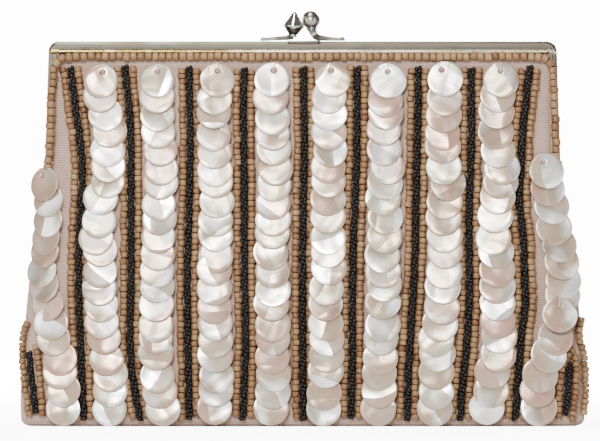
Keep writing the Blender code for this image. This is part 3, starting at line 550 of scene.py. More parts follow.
def spaced(line, low, high, start=0.0):
    """Where beads of random length sit along a line of points: each one's middle and length."""
    gone = run_of(line)
    lengths = []
    while start + sum(lengths) < gone[-1] - low:
        lengths.append(rng.uniform(low, high))
    lengths = np.array(lengths)
    return start + np.cumsum(lengths) - lengths / 2, lengths, gone


def follow(line, gone, where):
    return np.stack([np.interp(where, gone, column) for column in line.T], -1)


def heading(line, gone, where):
    return follow(line, gone, where + NEARBY) - follow(line, gone, where - NEARBY)


DRUM = ((0.22, 0.40), (0.70, 0.50), (0.95, 0.40), (1.0, 0.22), (1.0, -0.22), (0.95, -0.40),
        (0.70, -0.50), (0.22, -0.40))


def drum_beads(name, line, out, radius, low, high, lean=0.07, tone=0.42):
    """A string of drum beads along a line, each a little different in size, place and lean."""
    middles, lengths, gone = spaced(line, low, high)
    spots, ways = follow(line, gone, middles), follow(out, gone, middles)
    along = heading(line, gone, middles)
    count = len(middles)
    turns = frames(along, ways) @ leans(rng.normal(0, lean, (count, 3)))
    points, quads = ring_form(DRUM, DRUM_SIDES)
    size = np.stack([radius * rng.normal(1, 0.035, count)] * 2 + [lengths * 0.95], -1)
    size[:, 0] *= rng.normal(1, 0.03, count)
    spots = spots + turns[:, :, 0] * rng.normal(0, 0.00017, (count, 1))
    tints = np.clip(rng.normal(tone, 0.16, count), 0, 1)
    return strung(name, points[None] * size[:, None], quads, spots, turns, tints), spots, len(points)


def grained_effect():
    """The look of a small turned piece: streaks along its axis and a fleck here and there."""
    takes = {"Tint": 0.5, "Streak": 0.5}
    tree, start, end = new_effect("turned_grain", takes, "Shade", "Height")
    pulled = put(tree, "Mapping", {"Vector": start["Place"], "Scale": (1, 1, 0.3)}).outputs[0]
    streak, fleck = noise(tree, pulled, 9.0, 4.0), noise(tree, start["Place"], 30.0, 2.0)
    shade = swayed(tree, fleck, 0.3, swayed(tree, streak, start["Streak"], start["Tint"]))
    return give(tree, end, Shade=shade, Height=scaled(tree, fleck, 0.5, streak))


turned_grain = grained_effect()


def own_marks(tree):
    """The place and tint that each bead or disc carries."""
    place = put(tree, "Attribute", attribute_name="place").outputs["Vector"]
    tint = put(tree, "Attribute", attribute_name="tint").outputs["Fac"]
    return place, tint


def bead_finish(name, colours, streak, low, high, bump, shine):
    made, tree, shader = new_finish(name)
    place, tint = own_marks(tree)
    grain = use(tree, turned_grain, place=place, tint=tint, streak=streak)
    colour, rough = shades(tree, grain["Shade"], *colours), ranged(tree, grain["Shade"], start=low, end=high)
    finish_with(tree, shader, colour, rough, grain["Height"], bump, BEAD_RELIEF)
    shader["Specular IOR Level"].default_value = shine
    return made


tan_colours = (
    (0.0, (0.235, 0.142, 0.062)),
    (0.35, (0.165, 0.09, 0.036)),
    (0.62, (0.13, 0.064, 0.024)),
    (0.85, (0.10, 0.038, 0.012)),
    (1.0, (0.055, 0.02, 0.007)),
)
tan_wood = bead_finish("tan_wood_beads", tan_colours, 0.7, 0.5, 0.38, 0.25, 0.3)


def border_line():
    """The line through the border's beads: up one leg, under the rail and down the other."""
    turn, y, top = BORDER_TURN, BORDER_LEG_Y, BORDER_ROW_Z
    low, edge = leg_outer(BORDER_END) - BORDER_RADIUS, leg_outer(top) - BORDER_RADIUS
    half = np.array([
        (low, y + 0.0003, BORDER_END),
        (mix(low, edge, 0.5), y + 0.0001, mix(BORDER_END, top, 0.4)),
        (edge, y, top - 2.4 * turn),
        (edge - turn * 0.12, y, top - turn * 0.9),
        (edge - turn * 0.9, y - 0.0004, top - turn * 0.12),
        (edge - 2.4 * turn, BORDER_ROW_Y + 0.0004, top),
        (edge - 5 * turn, BORDER_ROW_Y, top),
    ])
    return np.concatenate([half * (-1, 1, 1), half[::-1]])


def rounded_line(points, step=0.0005, smooth=9):
    """Points close together along a line, with its corners eased."""
    gone = run_of(points)
    fine = follow(points, gone, np.linspace(0, gone[-1], int(gone[-1] / step) + 2))
    pad = smooth // 2
    padded = np.concatenate([2 * fine[:1] - fine[pad:0:-1], fine, 2 * fine[-1:] - fine[-2:-2 - pad:-1]])
    window = np.ones(smooth) / smooth
    return np.stack([np.convolve(column, window, "valid") for column in padded.T], -1)


def sewing_thread():
    made, tree, shader = new_finish("sewing_thread")
    place, tint = own_marks(tree)
    fluff = noise(tree, place, 14.0, 3.0)
    share = scaled(tree, fluff, 0.6, times(tree, tint, 0.4))
    colour = shades(tree, share, (0.2, (0.36, 0.17, 0.14)), (0.8, (0.58, 0.36, 0.31)))
    finish_with(tree, shader, colour, 0.7, fluff, 0.5, BEAD_RELIEF)
    return made


thread_finish = sewing_thread()


def thread_through(name, line, out):
    """The thread that a string of beads is on."""
    points, quads = tube_form(line[::4], unit(out[::4]))
    thread = strung(name, points[None], quads, np.zeros((1, 3)), np.eye(3)[None], np.array([0.5]))
    made_of(thread, thread_finish)
    return thread


for side, half in ((-1, "front"), (1, "back")):
    line = rounded_line(border_line() * (1, side, 1))
    out = np.broadcast_to((0.0, float(side), 0.0), line.shape)
    name = f"{half}_border_beads"
    beads, _, _ = drum_beads(name, line, out, BORDER_RADIUS, BORDER_LOW, BORDER_HIGH, lean=0.05)
    made_of(beads, tan_wood)
    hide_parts(f"{half}_border")
    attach(beads, f"{half}_half")
    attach(thread_through(f"{half}_border_thread", line, out), f"{half}_half")

# The bead strips: a rope of glossy black seed beads, three strings twisted together, between two
# strings of tan drum beads. Nine run from the rail to the bottom on each face, sewn down by hand,
# so that none is quite straight. Each pair below is (height, distance from the middle) in mm.
STRIP_PATHS = (
    ((154, -98.2), (130, -94.9), (118, -93.1), (108, -92.3), (75, -93.9), (55, -94.0), (36, -93.1),
     (2.7, -91.8)),
    ((154, -75.1), (130, -72.6), (119, -72.1), (59, -72.0), (38, -72.6), (24, -71.8), (2.7, -68.3)),
    ((154, -48.0), (120, -47.2), (95, -47.6), (75, -48.2), (60, -48.5), (30, -48.1), (2.7, -47.6)),
    ((154, -24.5), (135, -25.0), (110, -24.6), (60, -24.4), (38, -23.8), (20, -24.4), (2.7, -25.2)),
    ((154, 0.3), (115, 0.8), (95, 0.3), (60, -0.1), (2.7, 0.2)),
    ((154, 23.0), (115, 22.8), (100, 22.3), (75, 21.2), (50, 20.8), (30, 20.9), (2.7, 20.3)),
    ((154, 48.6), (135, 48.6), (100, 47.8), (65, 47.0), (50, 46.0), (25, 44.5), (2.7, 43.8)),
    ((154, 71.1), (122, 71.0), (97, 70.1), (79, 69.8), (57, 70.1), (38, 69.2), (13, 66.7), (2.7, 66.0)),
    ((154, 95.9), (122, 92.1), (107, 91.7), (97, 90.6), (77, 92.8), (51, 93.5), (42, 92.0), (2.7, 89.1)),
)
STRAND = 0.0031
SEWN_GAP = 0.0001
TAN_RADIUS = 0.00158
TAN_LOW, TAN_HIGH = 0.0021, 0.0027
SEED_RADIUS = 0.0009
SEED_LENGTH = 0.00155
ROPE_RADIUS = 0.00078
ROPE_TURN = 0.0168
ROPE_STRINGS = 3
SEED_BEAD = ((0.38, 0.36), (0.72, 0.5), (0.97, 0.24), (0.97, -0.24), (0.72, -0.5), (0.38, -0.36))
SEED_SIDES = 10
TAN_TOP, ROPE_TOP = 151.2, 151.8
MM = 0.001

black_colours = ((0.0, (0.002, 0.002, 0.002)), (0.6, (0.005, 0.004, 0.004)), (1.0, (0.014, 0.012, 0.011)))
black_glass = bead_finish("black_glass_beads", black_colours, 0.4, 0.3, 0.5, 0.1, 0.2)


def sewn_line(path, offset, height, side, top=FRAME_TOP):
    """A line over the cloth through (height, distance) pairs, and the way out along it."""
    flat = rounded_line(np.array(path, float)[:, ::-1] * MM, smooth=21)
    way = unit(np.gradient(flat, axis=0))
    flat = flat + offset * np.stack([-way[:, 1], way[:, 0]], -1)
    flat = flat[flat[:, 1] < top]
    return seat(flat[:, 0], flat[:, 1], height, side)


def black_rope(name, line, out):
    """Strings of seed beads twisted round each other, sewn down where they cross."""
    spots, ways, turns = [], [], []
    for string in range(ROPE_STRINGS):
        shift = string * SEED_LENGTH / ROPE_STRINGS
        middles, _, gone = spaced(line, SEED_LENGTH * 0.94, SEED_LENGTH * 1.06, shift)
        place, up = follow(line, gone, middles), unit(follow(out, gone, middles))
        along = unit(heading(line, gone, middles))
        across = np.cross(up, along)
        phase = (math.tau * (middles / ROPE_TURN + string / ROPE_STRINGS))[:, None]
        c, s = np.cos(phase), np.sin(phase)
        around = across * c + up * s
        pulled = 1 + 0.12 * np.sin(middles * 900 + 2 * string)[:, None]
        spots.append(place + around * ROPE_RADIUS * pulled)
        pitch = ROPE_RADIUS * math.tau / ROPE_TURN
        turns.append(frames(along + pitch * (up * c - across * s), around))
    spots, turns = np.concatenate(spots), np.concatenate(turns)
    count = len(spots)
    turns = turns @ leans(rng.normal(0, 0.12, (count, 3)))
    points, quads = ring_form(SEED_BEAD, SEED_SIDES)
    size = np.array([SEED_RADIUS, SEED_RADIUS, SEED_LENGTH]) * rng.normal(1, 0.04, (count, 3))
    tints = np.clip(rng.normal(0.3, 0.2, count), 0, 1)
    return strung(name, points[None] * size[:, None], quads, spots, turns, tints), spots, len(points)


def bead_strip(label, paths, side, tan_top, rope_top, replaced):
    """Two tan strings and the rope between them, at the three paths, or beside the one path."""
    apart = STRAND if paths[0] is paths[1] else 0.0
    for kind, path, offset in zip(("tan_left", "tan_right", "rope"), paths, (-apart, apart, 0.0)):
        name = f"{label}_{kind}"
        if kind == "rope":
            line, out = sewn_line(path, offset, SEED_RADIUS + ROPE_RADIUS + SEWN_GAP, side, rope_top)
            beads, spots, each = black_rope(name, line, out)
            made_of(beads, black_glass)
        else:
            line, out = sewn_line(path, offset, TAN_RADIUS + SEWN_GAP, side, tan_top)
            # The strip beads take a darker tone than the border beads: painted shade on beads that are lit
            # more than the border under the rail.
            beads, spots, each = drum_beads(name, line, out, TAN_RADIUS, TAN_LOW, TAN_HIGH, tone=0.52)
            made_of(beads, tan_wood)
            over_hinge(thread_through(name + "_thread", line, out))
        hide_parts(*replaced)
        over_hinge(beads)


for k, path in enumerate(STRIP_PATHS, 1):
    tan_top = (TAN_TOP + rng.uniform(-1.0, 1.0)) * MM
    rope_top = (ROPE_TOP + rng.uniform(-0.5, 0.5)) * MM
    names = (f"bead_strip_upper_{k}", f"bead_strip_lower_{k}")
    bead_strip(f"strip_{k}", [path] * 3, -1, tan_top, rope_top, names)

# The shell columns: discs cut from mother-of-pearl, each bored near its edge and hung by a loop of
# pink thread, so that it lies over the next one down. Eight full columns hang between the strips,
# and one of 14 discs down each side below the hinges. Heights and distances are in mm.
COLUMN_PATHS = (
    ((150, -85.6), (136, -84.6), (124, -81.4), (101, -81.9), (94, -84.4), (80, -86.9), (73, -84.7),
     (52, -84.8), (38, -83.5), (24, -81.1), (10, -80.8)),
    ((150, -61.8), (136, -61.3), (115, -59.8), (80, -60.5), (52, -61.1), (27, -62.1), (10, -58.4)),
    ((150, -36.3), (129, -37.6), (115, -36.6), (94, -36.3), (66, -37.1), (38, -36.5), (10, -36.6)),
    ((150, -13.2), (136, -13.3), (112, -11.8), (87, -12.3), (66, -13.4), (56, -12.3), (10, -12.8)),
    ((150, 12.2), (136, 11.0), (122, 11.3), (101, 10.9), (80, 10.2), (59, 10.5), (45, 9.8), (24, 10.3),
     (10, 8.5)),
    ((150, 35.6), (129, 34.7), (122, 33.7), (108, 35.6), (98, 33.9), (84, 34.6), (73, 33.4), (59, 34.2),
     (38, 33.0), (10, 31.8)),
    ((150, 59.9), (136, 59.4), (125, 58.9), (108, 59.2), (101, 61.0), (87, 58.6), (73, 59.7), (52, 58.2),
     (38, 56.7), (17, 55.9), (10, 55.6)),
    ((150, 83.6), (136, 81.6), (125, 81.1), (108, 83.3), (94, 82.0), (82, 80.4), (66, 81.3), (52, 81.6),
     (31, 82.1), (17, 79.0), (10, 77.1)),
)
SIDE_PATHS = {
    "left": ((101.6, -108.3), (92.2, -105.9), (85.5, -106.9), (75, -108.7), (65.3, -109.1), (58.6, -109.3),
             (52.5, -107.3), (44.1, -105.1), (37.6, -104.4), (31.7, -101.2), (22.1, -101.4), (14.1, -100),
             (6.7, -100)),
    "right": ((106.5, 100.9), (97.7, 103.0), (85.1, 105.1), (77.5, 106.8), (63.2, 109.0), (54, 108.6),
              (45.6, 107.6), (36.8, 105.1), (28.8, 101.8), (21.2, 98.6), (13.7, 98.0), (6.1, 99.8)),
}
COLUMN_TOP, COLUMN_FOOT = 0.1453, 0.0079
FIRST_DISCS = (-84.8, -61.4, -35.9, -12.9, 12.7, 36.0, 60.1, 83.5)
COLUMN_DISCS = 20
SIDE_DISCS = 14
SEAT_REACH = 0.1045
SIDE_TURN = 0.45
SIDE_TURN_FROM, SIDE_TURN_TO = 0.040, 0.055
FRONT_MOST = 8
FRONT_MOST_LIFT = 0.0021
FIRST_LIFT = 0.0012
DISC_RADIUS = 0.0075
DISC_SPREAD = 0.03
DISC_THICKNESS = 0.00055
DISC_HOLE = 0.0011
DISC_HOLE_RISE = 0.0041
DISC_LEVEL = 0.0037
DISC_TILT = math.radians(6.6)
NACRE_RELIEF = 0.0010
DISC_SIDES = 40
DISC_RINGS = ((0.0, 0.42), (0.06, 0.5), (0.3, 0.5), (0.55, 0.5), (0.78, 0.5), (0.95, 0.5), (0.99, 0.3),
              (1.0, 0.0), (0.99, -0.3), (0.95, -0.5), (0.5, -0.5), (0.0, -0.42))


def disc_forms(count, size):
    """Bored discs, each with its own slightly uneven edge and its own curve."""
    turn = round_angles(DISC_SIDES)
    share, level = np.array(DISC_RINGS).T
    phase = rng.uniform(0, math.tau, (count, 3, 1, 1))
    uneven = 0.010 * np.sin(2 * turn + phase[:, 0]) + 0.006 * np.sin(3 * turn + phase[:, 1])
    outer = size * rng.normal(1, 0.012, (count, 1, 1)) * (1 + uneven)
    radius = mix(DISC_HOLE, outer, share[:, None])
    u = radius * np.cos(turn)
    v = radius * np.sin(turn) + DISC_HOLE_RISE * (1 - share[:, None])
    c, s = np.cos(phase[:, 2]), np.sin(phase[:, 2])
    along, across = u * c + v * s, v * c - u * s
    bow = rng.uniform(0.2, 5.5, (count, 1, 1)) * along**2 + rng.uniform(-1.0, 2.0, (count, 1, 1)) * across**2
    w = level[:, None] * DISC_THICKNESS - bow
    forms = np.stack([u, v, np.broadcast_to(w, u.shape)], -1).reshape(count, -1, 3)
    return forms, ringed(len(share), DISC_SIDES)


def loop_form():
    """The thread from the bore up over the disc's top edge and back, with a knot in the bore."""
    rise, radius, half = DISC_HOLE_RISE, DISC_RADIUS, DISC_THICKNESS / 2
    flat = ((rise - 0.0002, -0.0006), (rise, half), (rise + 0.0008, half + 0.0002),
            (radius - 0.0012, half + 0.0003), (radius + 0.0001, half), (radius + 0.0002, -half),
            (radius - 0.0012, -half - 0.0003), (rise + 0.001, -half - 0.0005))
    line = np.array([(0.0, v, w) for v, w in flat])
    beside = np.broadcast_to((1.0, 0.0, 0.0), line.shape)
    points, quads = tube_form(line, beside, closed=True)
    knot, knot_quads = ring_form(((0.0004, 0.0), (0.0006, 0.0002), (0.0008, 0.0), (0.0006, -0.0002)), 12)
    knot = knot + (0, rise, half + 0.0001)
    return np.concatenate([points, knot]), np.concatenate([quads, knot_quads + len(points)])


def pearl_effect():
    """The nacre of a disc: sheets that each end in a crisp curved line, and cloudy patches."""
    gives = ("Height", "Cloud", "Shade", "Gleam")
    tree, start, end = new_effect("nacre_sheets", {"Tint": 0.5}, *gives)
    bent = {"Vector": start["Place"], "Scale": 0.15, "Distortion": 2.6, "Detail": 0.2, "Detail Scale": 3.0}
    folds = put(tree, "TexWave", bent, wave_profile="TRI").outputs["Fac"]
    sheets = put(tree, "TexWave", bent, wave_profile="SAW").outputs["Fac"]
    bent = {"Vector": start["Place"], "Scale": 0.6, "Distortion": 7.0, "Detail": 0.4, "Detail Scale": 0.8}
    lines = put(tree, "TexWave", bent, wave_profile="TRI", bands_direction="Y").outputs["Fac"]
    cloud = noise(tree, start["Place"], 0.75, 0.5)
    shade = swayed(tree, sheets, 0.3, swayed(tree, cloud, 0.8, start["Tint"]))
    folds = times(tree, folds, 0.7)
    folds = scaled(tree, times(tree, lines, cloud), 0.12, folds)
    height = scaled(tree, cloud, 2.8, folds)
    shade = swayed(tree, lines, 0.08, shade)
    # Where the sheets shine: it raises the metal's shine, and the finish paints a white highlight from it.
    shine_and_painted_highlight = swayed(tree, start["Tint"], 0.35, times(tree, sheets, cloud))
    return give(tree, end, Height=height, Cloud=cloud, Shade=shade, Gleam=shine_and_painted_highlight)


nacre_sheets = pearl_effect()
PEARL_SHADES = (
    (0.0, (0.262, 0.147, 0.096)),
    (0.25, (0.278, 0.175, 0.116)),
    (0.45, (0.288, 0.21, 0.134)),
    (0.65, (0.312, 0.252, 0.172)),
    (0.85, (0.365, 0.325, 0.26)),
    (1.0, (0.475, 0.45, 0.42)),
)


def pearl_finish():
    made, tree, shader = new_finish("mother_of_pearl")
    place, tint = own_marks(tree)
    nacre = use(tree, nacre_sheets, place=place, tint=tint)
    colour = shades(tree, nacre["Shade"], *PEARL_SHADES)
    glow = shades(tree, nacre["Cloud"], (0.35, (0.54, 0.33, 0.30)), (0.5, (0.46, 0.42, 0.31)),
                  (0.65, (0.36, 0.45, 0.48)))
    colour = mixed(tree, 0.2, colour, glow)
    # Where the sheets shine most the colour is painted towards white: a painted highlight.
    white = ranged(tree, nacre["Gleam"], 0.32, 0.58, 0.0, 0.9)
    colour = mixed(tree, white, colour, (0.92, 0.91, 0.90, 1))
    rough = ranged(tree, nacre["Cloud"], 0.3, 0.7, 0.26, 0.38)
    finish_with(tree, shader, colour, rough, nacre["Height"], 1.0, NACRE_RELIEF)
    metal = ranged(tree, nacre["Gleam"], 0.05, 0.55, 0.25, 0.92)
    fill(tree, shader, {"Metallic": metal, "Coat Weight": 0.3, "Coat Roughness": 0.1})
    return made


pearl = pearl_finish()


def shell_column(label, x, z, side, replaced, loose, first=None, turned=0.0, lift=0.0):
    """Discs from the top down, each hung by its loop of thread and lying over the next."""
    count = len(z)
    drift = np.cumsum(rng.normal(0, 0.0011, count))
    drift = drift - np.convolve(np.pad(drift, 2, "edge"), np.ones(5) / 5, "valid")
    x = x + loose * np.clip(1.3 * drift + rng.normal(0, 0.0005, count), -0.0026, 0.0026)
    shift = np.clip(rng.normal(0, 0.0008, count), -0.0016, 0.0016)
    shift[[0, -1]] *= 0.4
    size = DISC_RADIUS * (1 + DISC_SPREAD * np.mean(x) / BAG_HALF_WIDTH)
    z = np.maximum(z + shift, 1.04 * size)
    if first is not None:
        x[0] = first
    held = np.clip(x, -SEAT_REACH, SEAT_REACH)
    spots, out = seat(held, z, DISC_LEVEL + lift, side)
    out = out * (0.8, 1, 1)
    out[:, 0] += turned * np.sign(x)
    out = unit(out)
    across = unit(np.cross(np.broadcast_to((0.0, 0.0, 1.0), out.shape), -side * out) * (1, 1, 0))
    across = across * np.sign(across[:, :1])
    up = np.cross(out, across)
    up = up * np.sign(up[:, 2:])
    spots = spots + across * (x - held)[:, None]
    turns = np.stack([across, up, np.cross(across, up)], -1)
    turns[:, :, [0, 2]] *= np.sign((turns[:, :, 2] * out).sum(-1))[:, None, None]
    angles = np.stack([
        -DISC_TILT + rng.normal(0, 0.022, count),
        np.clip(rng.normal(0, 0.045, count), -0.08, 0.08),
        rng.normal(0, 0.24, count),
    ], -1)
    turns = turns @ leans(angles)
    tints = rng.beta(1.6, 1.8, count)
    forms, quads = disc_forms(count, size)
    discs = strung(f"{label}_discs", forms, quads, spots, turns, tints)
    made_of(discs, pearl)
    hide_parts(*replaced)
    over_hinge(discs)
    loop, loop_quads = loop_form()
    loops = np.broadcast_to(loop, (count, *loop.shape))
    threads = strung(f"{label}_threads", loops, loop_quads, spots, turns, rng.uniform(0, 1, count))
    made_of(threads, thread_finish)
    over_hinge(threads)


def column_places(path, top, count):
    """The distance from the middle and the height of each disc down a column's path."""
    z = np.linspace(top, COLUMN_FOOT, count)
    heights, places = np.array(path)[::-1].T * MM
    return np.interp(z, heights, places), z


for k, (path, first) in enumerate(zip(COLUMN_PATHS, FIRST_DISCS), 1):
    x, z = column_places(path, COLUMN_TOP, COLUMN_DISCS)
    names = (f"shell_column_upper_{k}", f"shell_column_lower_{k}")
    shell_column(f"column_{k}", x, z, -1, names, 0.3, first * MM)
for label, path in SIDE_PATHS.items():
    x, z = column_places(path, path[0][0] * MM, SIDE_DISCS)
    turned = SIDE_TURN * smooth_step(SIDE_TURN_FROM, SIDE_TURN_TO, z) if label == "left" else 0.0
    lift = np.zeros(SIDE_DISCS)
    lift[0] = FIRST_LIFT
    lift[FRONT_MOST] = FRONT_MOST_LIFT * (label == "right")
    names = (f"shell_column_side_{label}",)
    shell_column(f"side_column_{label}", x, z, -1, names, 0.4, turned=turned, lift=lift)

# The corner strips: the same two tan strings and black rope, short, at each bottom corner. The
# strings start apart, where the thread comes up through the cloth, and draw together. At the right
# a strand of the back's beads shows round the edge.
CORNER_PATHS = {
    "left": (
        ((44, -114.8), (42.5, -116.1), (37, -116.6), (28, -116.8), (15.3, -115.9), (9.5, -115),
         (2.7, -114.2)),
        ((34.7, -112.0), (29.6, -110.6), (17.4, -110.2), (7.8, -109.0), (2.7, -109.0)),
        ((31.7, -114.3), (24.6, -113.8), (15.3, -112.9), (5, -111.5)),
    ),
    "right": (
        ((33, 113.1), (30.9, 110.5), (23.3, 108.1), (14.1, 107.2), (2.7, 107.5)),
        ((30.0, 114.0), (23.3, 114.6), (16.6, 114.4), (2.7, 112.8)),
        ((27.1, 111.3), (21.6, 111.6), (14.9, 111.0), (4.6, 109.8)),
    ),
}
EDGE_STRAND_PATH = ((45.7, 116.2), (41.5, 115.6), (38, 114.6), (34, 116.8), (24.4, 117.9), (17.1, 118.2),
                    (8.3, 117.6), (4, 117.0))
for label, paths in CORNER_PATHS.items():
    bead_strip(f"corner_{label}", paths, -1, FRAME_TOP, FRAME_TOP, (f"corner_strip_{label}",))
line, out = sewn_line(EDGE_STRAND_PATH, 0.0, TAN_RADIUS, -1)
beads, _, _ = drum_beads("edge_strand", line, out, TAN_RADIUS, TAN_LOW, TAN_HIGH)
made_of(beads, tan_wood)
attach(beads, "pouch")
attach(thread_through("edge_strand_thread", line, out), "pouch")

# The back's beadwork: strips, full columns and side columns sewn on as on the front, each bead and
# disc lying in its own way. The side columns sit a little further in, clear of the side seams.
BACK_NODES = ("back_beadwork_upper", "back_beadwork_lower")
BACK_SIDE_SHARE = 0.965
BACK_TAN_TOP, BACK_ROPE_TOP = 0.1495, 0.1505
for k, path in enumerate(STRIP_PATHS, 1):
    bead_strip(f"back_strip_{k}", [path] * 3, 1, BACK_TAN_TOP, BACK_ROPE_TOP, BACK_NODES)
for k, path in enumerate(COLUMN_PATHS, 1):
    x, z = column_places(path, COLUMN_TOP, COLUMN_DISCS)
    shell_column(f"back_column_{k}", x, z, 1, BACK_NODES, 0.6)
for label, path in SIDE_PATHS.items():
    x, z = column_places(path, path[0][0] * MM, SIDE_DISCS)
    shell_column(f"back_side_column_{label}", x * BACK_SIDE_SHARE, z, 1, BACK_NODES[1:], 0.3)

# The kiss-lock: a ball on the front half and a double cone on the back half, turned and plated, each
# on an arm of spring steel riveted to its rail. A thin dark bar on the rail between the arms' feet is
# a painted reflection of the dark arms in the rail's top. In mm: profiles are (height, radius) from a
# knob's widest place, and an arm's rows run from its rivet to its knob.
BALL_PLACE = (3.5, 1.2, 171.0)
BALL_LEAN = math.radians(-5)
BALL_PROFILE = ((4.15, 0), (4.05, 1.0), (3.6, 2.15), (2.6, 3.1), (1.15, 3.7), (0, 3.85), (-1.2, 3.6),
                (-2.2, 2.95), (-2.8, 2.4), (-2.9, 2.0), (-3.02, 2.0), (-3.1, 2.4), (-3.4, 2.5),
                (-3.7, 2.3), (-3.82, 1.7), (-3.95, 1.6), (-4.05, 1.9), (-4.4, 2.0), (-4.7, 1.7),
                (-4.8, 0))
CONE_PLACE = (-3.75, -1.2, 168.6)
CONE_LEAN = math.radians(4)
CONE_PROFILE = ((6.4, 0), (6.3, 0.35), (6.0, 0.65), (0.5, 4.15), (0.15, 4.4), (-0.2, 4.38), (-0.5, 4.15),
                (-3.5, 1.9), (-3.6, 1.6), (-3.7, 1.4), (-3.85, 1.4), (-4.0, 1.65), (-4.3, 1.7),
                (-4.6, 1.5), (-4.7, 0))
BALL_ARM = ((17.9, -2.7, 162.85, 0.8, 3.6), (16.0, -2.7, 162.95, 1.1, 4.0), (13.0, -2.7, 163.15, 1.5, 3.8),
            (10.0, -2.4, 163.35, 1.9, 3.4), (7.9, -1.6, 163.55, 2.3, 3.0), (6.4, -0.6, 163.85, 2.6, 2.8),
            (5.5, 0.4, 164.2, 2.8, 2.6), (4.95, 1.0, 164.9, 2.9, 2.6), (4.55, 1.2, 165.7, 3.2, 2.8),
            (4.2, 1.2, 166.6, 3.6, 3.0))
CONE_ARM = ((-17.9, 2.7, 162.95, 1.0, 3.6), (-16.0, 2.7, 163.1, 1.3, 4.0), (-14.0, 2.7, 163.3, 1.45, 3.8),
            (-11.0, 2.3, 163.5, 1.6, 3.4), (-7.6, 1.0, 163.65, 1.8, 3.0), (-6.1, 0, 163.8, 2.1, 2.8),
            (-5.1, -0.8, 164.1, 2.6, 2.6), (-4.4, -1.2, 164.6, 3.0, 2.7))
KNOB_SIDES = 48
ARM_SECTION = ((-0.94, 1), (0.94, 1), (1, 0.8), (1, -0.8), (0.94, -1), (-0.94, -1), (-1, -0.8), (-1, 0.8))
ARM_CREASE = math.radians(28)
RIVET_HEAD = ((0.45, 0), (0.4, 0.45), (0.2, 0.85), (0, 0.95), (-0.3, 0.9), (-0.3, 0))
RIVET_PLACE = (16.6, -2.7, 163.65)


def turned_knob(name, profile, place, lean):
    """A knob turned to its profile, set on its arm at a lean to one side."""
    turn = round_angles(KNOB_SIDES)
    height, radius = np.array(profile, float).T[:, :, None]
    flat = radius * np.cos(turn)
    x = flat * math.cos(lean) + height * math.sin(lean)
    z = height * math.cos(lean) - flat * math.sin(lean)
    points = np.stack([x, radius * np.sin(turn) + 0 * height, z], -1) + place
    quads = ringed(len(profile), KNOB_SIDES, closed=False, inward=True)
    return piece_from(name, points * MM, quads)


def sprung_arm(name, stations):
    """An arm from rows of (across, back, up, thickness, width) in mm, closed at both ends."""
    line = rounded_line(np.array(stations, float), 0.3, 7)
    line = np.concatenate([line[:1], line, line[-1:]])
    line[[0, -1], 3:] = 0
    way = unit(np.gradient(line[1:-1, [0, 2]], axis=0))
    way = np.concatenate([way[:1], way, way[-1:]])
    wide, thick = line[:, [4, 3], None].transpose(1, 0, 2) / 2 * np.array(ARM_SECTION).T[:, None]
    points = line[:, None, :3] + np.stack([-way[:, 1, None] * thick, wide, way[:, 0, None] * thick], -1)
    quads = ringed(len(line), len(ARM_SECTION), closed=False, inward=True)
    arm = piece_from(name, points * MM, quads)
    arm.data.set_sharp_from_angle(angle=ARM_CREASE)
    return arm


bright = nickel_finish("bright_nickel", (0.62, 0.59, 0.53), (0.46, 0.435, 0.38), 0.01)
satin_nickel = nickel_finish("satin_nickel", (0.34, 0.32, 0.285), (0.24, 0.225, 0.195), 0.16)
spring = nickel_finish("spring_steel", (0.15, 0.14, 0.12), (0.10, 0.093, 0.078), 0.28)
for half, form, way, polish, stations, profile, place, lean in (
    ("front", "ball", 1, satin_nickel, BALL_ARM, BALL_PROFILE, BALL_PLACE, BALL_LEAN),
    ("back", "cone", -1, bright, CONE_ARM, CONE_PROFILE, CONE_PLACE, CONE_LEAN),
):
    arm, knob = sprung_arm(f"{form}_arm", stations), turned_knob(form, profile, place, lean)
    rivet_place = np.array(RIVET_PLACE) * (way, way, 1)
    head = turned_knob(f"{half}_rivet_head", RIVET_HEAD, rivet_place, 0.0)
    for piece, finish, packed in ((arm, spring, "arm"), (knob, polish, form), (head, spring, "rivet")):
        made_of(piece, finish)
        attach(piece, f"{half}_clasp")
        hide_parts(f"{half}_clasp_{packed}")
# A thin dark bar lying on the rail between the arms: a painted dark reflection of the arms.
dark_reflection_finish = nickel_finish("painted_dark_reflection", (0.075, 0.07, 0.06), (0.045, 0.042, 0.036), 0.35)
REFLECTION_BAND = ((-6.3, -5.35, 162.0, 0.7, 0.7), (-5.0, -5.4, 161.75, 1.1, 0.8), (0, -5.45, 161.7, 1.2, 0.8),
          (6.0, -5.4, 161.75, 1.3, 0.8), (7.4, -5.35, 162.1, 0.9, 0.7))
reflection_band = sprung_arm("painted_reflection_band", REFLECTION_BAND)
made_of(reflection_band, dark_reflection_finish)
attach(reflection_band, "front_half")

# The studio: a pale floor and a white backdrop, with soft lights in front, above, at both sides and
# behind, and a long lens level with the middle of the bag.
PIXEL = 0.00042
PICTURE_WIDTH, PICTURE_HEIGHT = 600, 441
MIDDLE_ACROSS, GROUND_DOWN = 302.7, 427.5
LENS, FILM = 450, 36
CAMERA_DROP = 0.0003
FLOOR_RADIUS, FLOOR_DROP = 6, 0.0002
WHITE = (1, 1, 1)
LIGHTS = (
    ("front_box", (-0.22, -1.45, 0.66), (0.42, 0.3), 41.5, (1, 0.985, 0.955)),
    ("overhead", (-0.12, -0.35, 1.1), (0.16, 0.5), 13, WHITE),
    ("left_window", (-1.3, -0.9, 0.4), (0.4, 0.8), 7.5, (0.97, 0.99, 1)),
    ("right_fill", (1.3, -1.1, 0.3), (0.3, 0.8), 7.5, WHITE),
    ("back_box", (0.45, 1.45, 0.75), (0.7, 0.5), 40, WHITE),
    ("back_fill", (-1.2, 1.2, 0.4), (0.5, 0.8), 12, WHITE),
)
LIGHTS_AIM = (0, 0, 0.08)


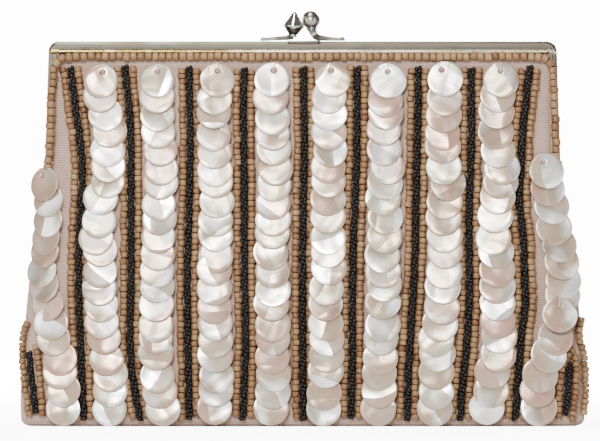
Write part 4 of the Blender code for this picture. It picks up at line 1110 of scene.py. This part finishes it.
def pale_floor():
    """A floor that fades into the white of the backdrop, away from the bag."""
    place = (0, 0, -FLOOR_DROP)
    bpy.ops.mesh.primitive_circle_add(vertices=64, radius=FLOOR_RADIUS, fill_type="NGON", location=place)
    floor = bpy.context.object
    floor.name = "floor"
    made, tree, shader = new_finish("pale_floor")
    place = put(tree, "TexCoord").outputs["Object"]
    grain = noise(tree, place, 400.0, 3.0)
    colour = shades(tree, grain, (0.3, (0.88, 0.88, 0.88)), (0.7, (0.92, 0.92, 0.92)))
    fill(tree, shader, {"Base Color": colour, "Roughness": 0.9, "Emission Color": (*WHITE, 1)})
    away = put(tree, "VectorMath", {0: place}, operation="LENGTH").outputs["Value"]
    fade = put(tree, "MapRange", {0: away, 1: 0.05, 2: 0.9, 3: 8.0, 4: 14.0}, interpolation_type="SMOOTHSTEP")
    seen = put(tree, "LightPath").outputs["Is Camera Ray"]
    tree.links.new(times(tree, fade.outputs[0], seen), shader["Emission Strength"])
    floor.data.materials.append(made)


def soft_light(name, place, size, power, colour):
    lamp = bpy.data.lights.new(name, "AREA")
    lamp.shape = "RECTANGLE"
    lamp.size, lamp.size_y = size
    lamp.energy = power
    lamp.color = colour
    made = in_scene(name, lamp)
    made.location = place
    way = Vector(LIGHTS_AIM) - Vector(place)
    made.rotation_euler = way.to_track_quat("-Z", "Y").to_euler()


def backdrop():
    """White behind the bag, and a soft grey light from all round."""
    world = bpy.data.worlds.new("studio_air")
    world.use_nodes = True
    tree = world.node_tree
    seen = put(tree, "LightPath").outputs["Is Camera Ray"]
    air = tree.nodes["Background"]
    air.inputs["Color"].default_value = (0.22, 0.22, 0.22, 1)
    white = put(tree, "Background", {"Color": (*WHITE, 1), "Strength": 14})
    both = put(tree, "MixShader", {0: seen, 1: air.outputs[0], 2: white.outputs[0]})
    tree.links.new(both.outputs[0], tree.nodes["World Output"].inputs["Surface"])
    bpy.context.scene.world = world


def camera():
    lens = bpy.data.cameras.new("camera")
    lens.sensor_width = FILM
    lens.lens = LENS
    made = in_scene("camera", lens)
    away = BAG_HALF_DEPTH + PICTURE_WIDTH * PIXEL * LENS / FILM
    up = (GROUND_DOWN - PICTURE_HEIGHT / 2) * PIXEL - CAMERA_DROP
    made.location = ((PICTURE_WIDTH / 2 - MIDDLE_ACROSS) * PIXEL, -away, up)
    made.rotation_euler = (math.pi / 2, 0, 0)
    bpy.context.scene.camera = made


pale_floor()
for light in LIGHTS:
    soft_light(*light)
backdrop()
camera()
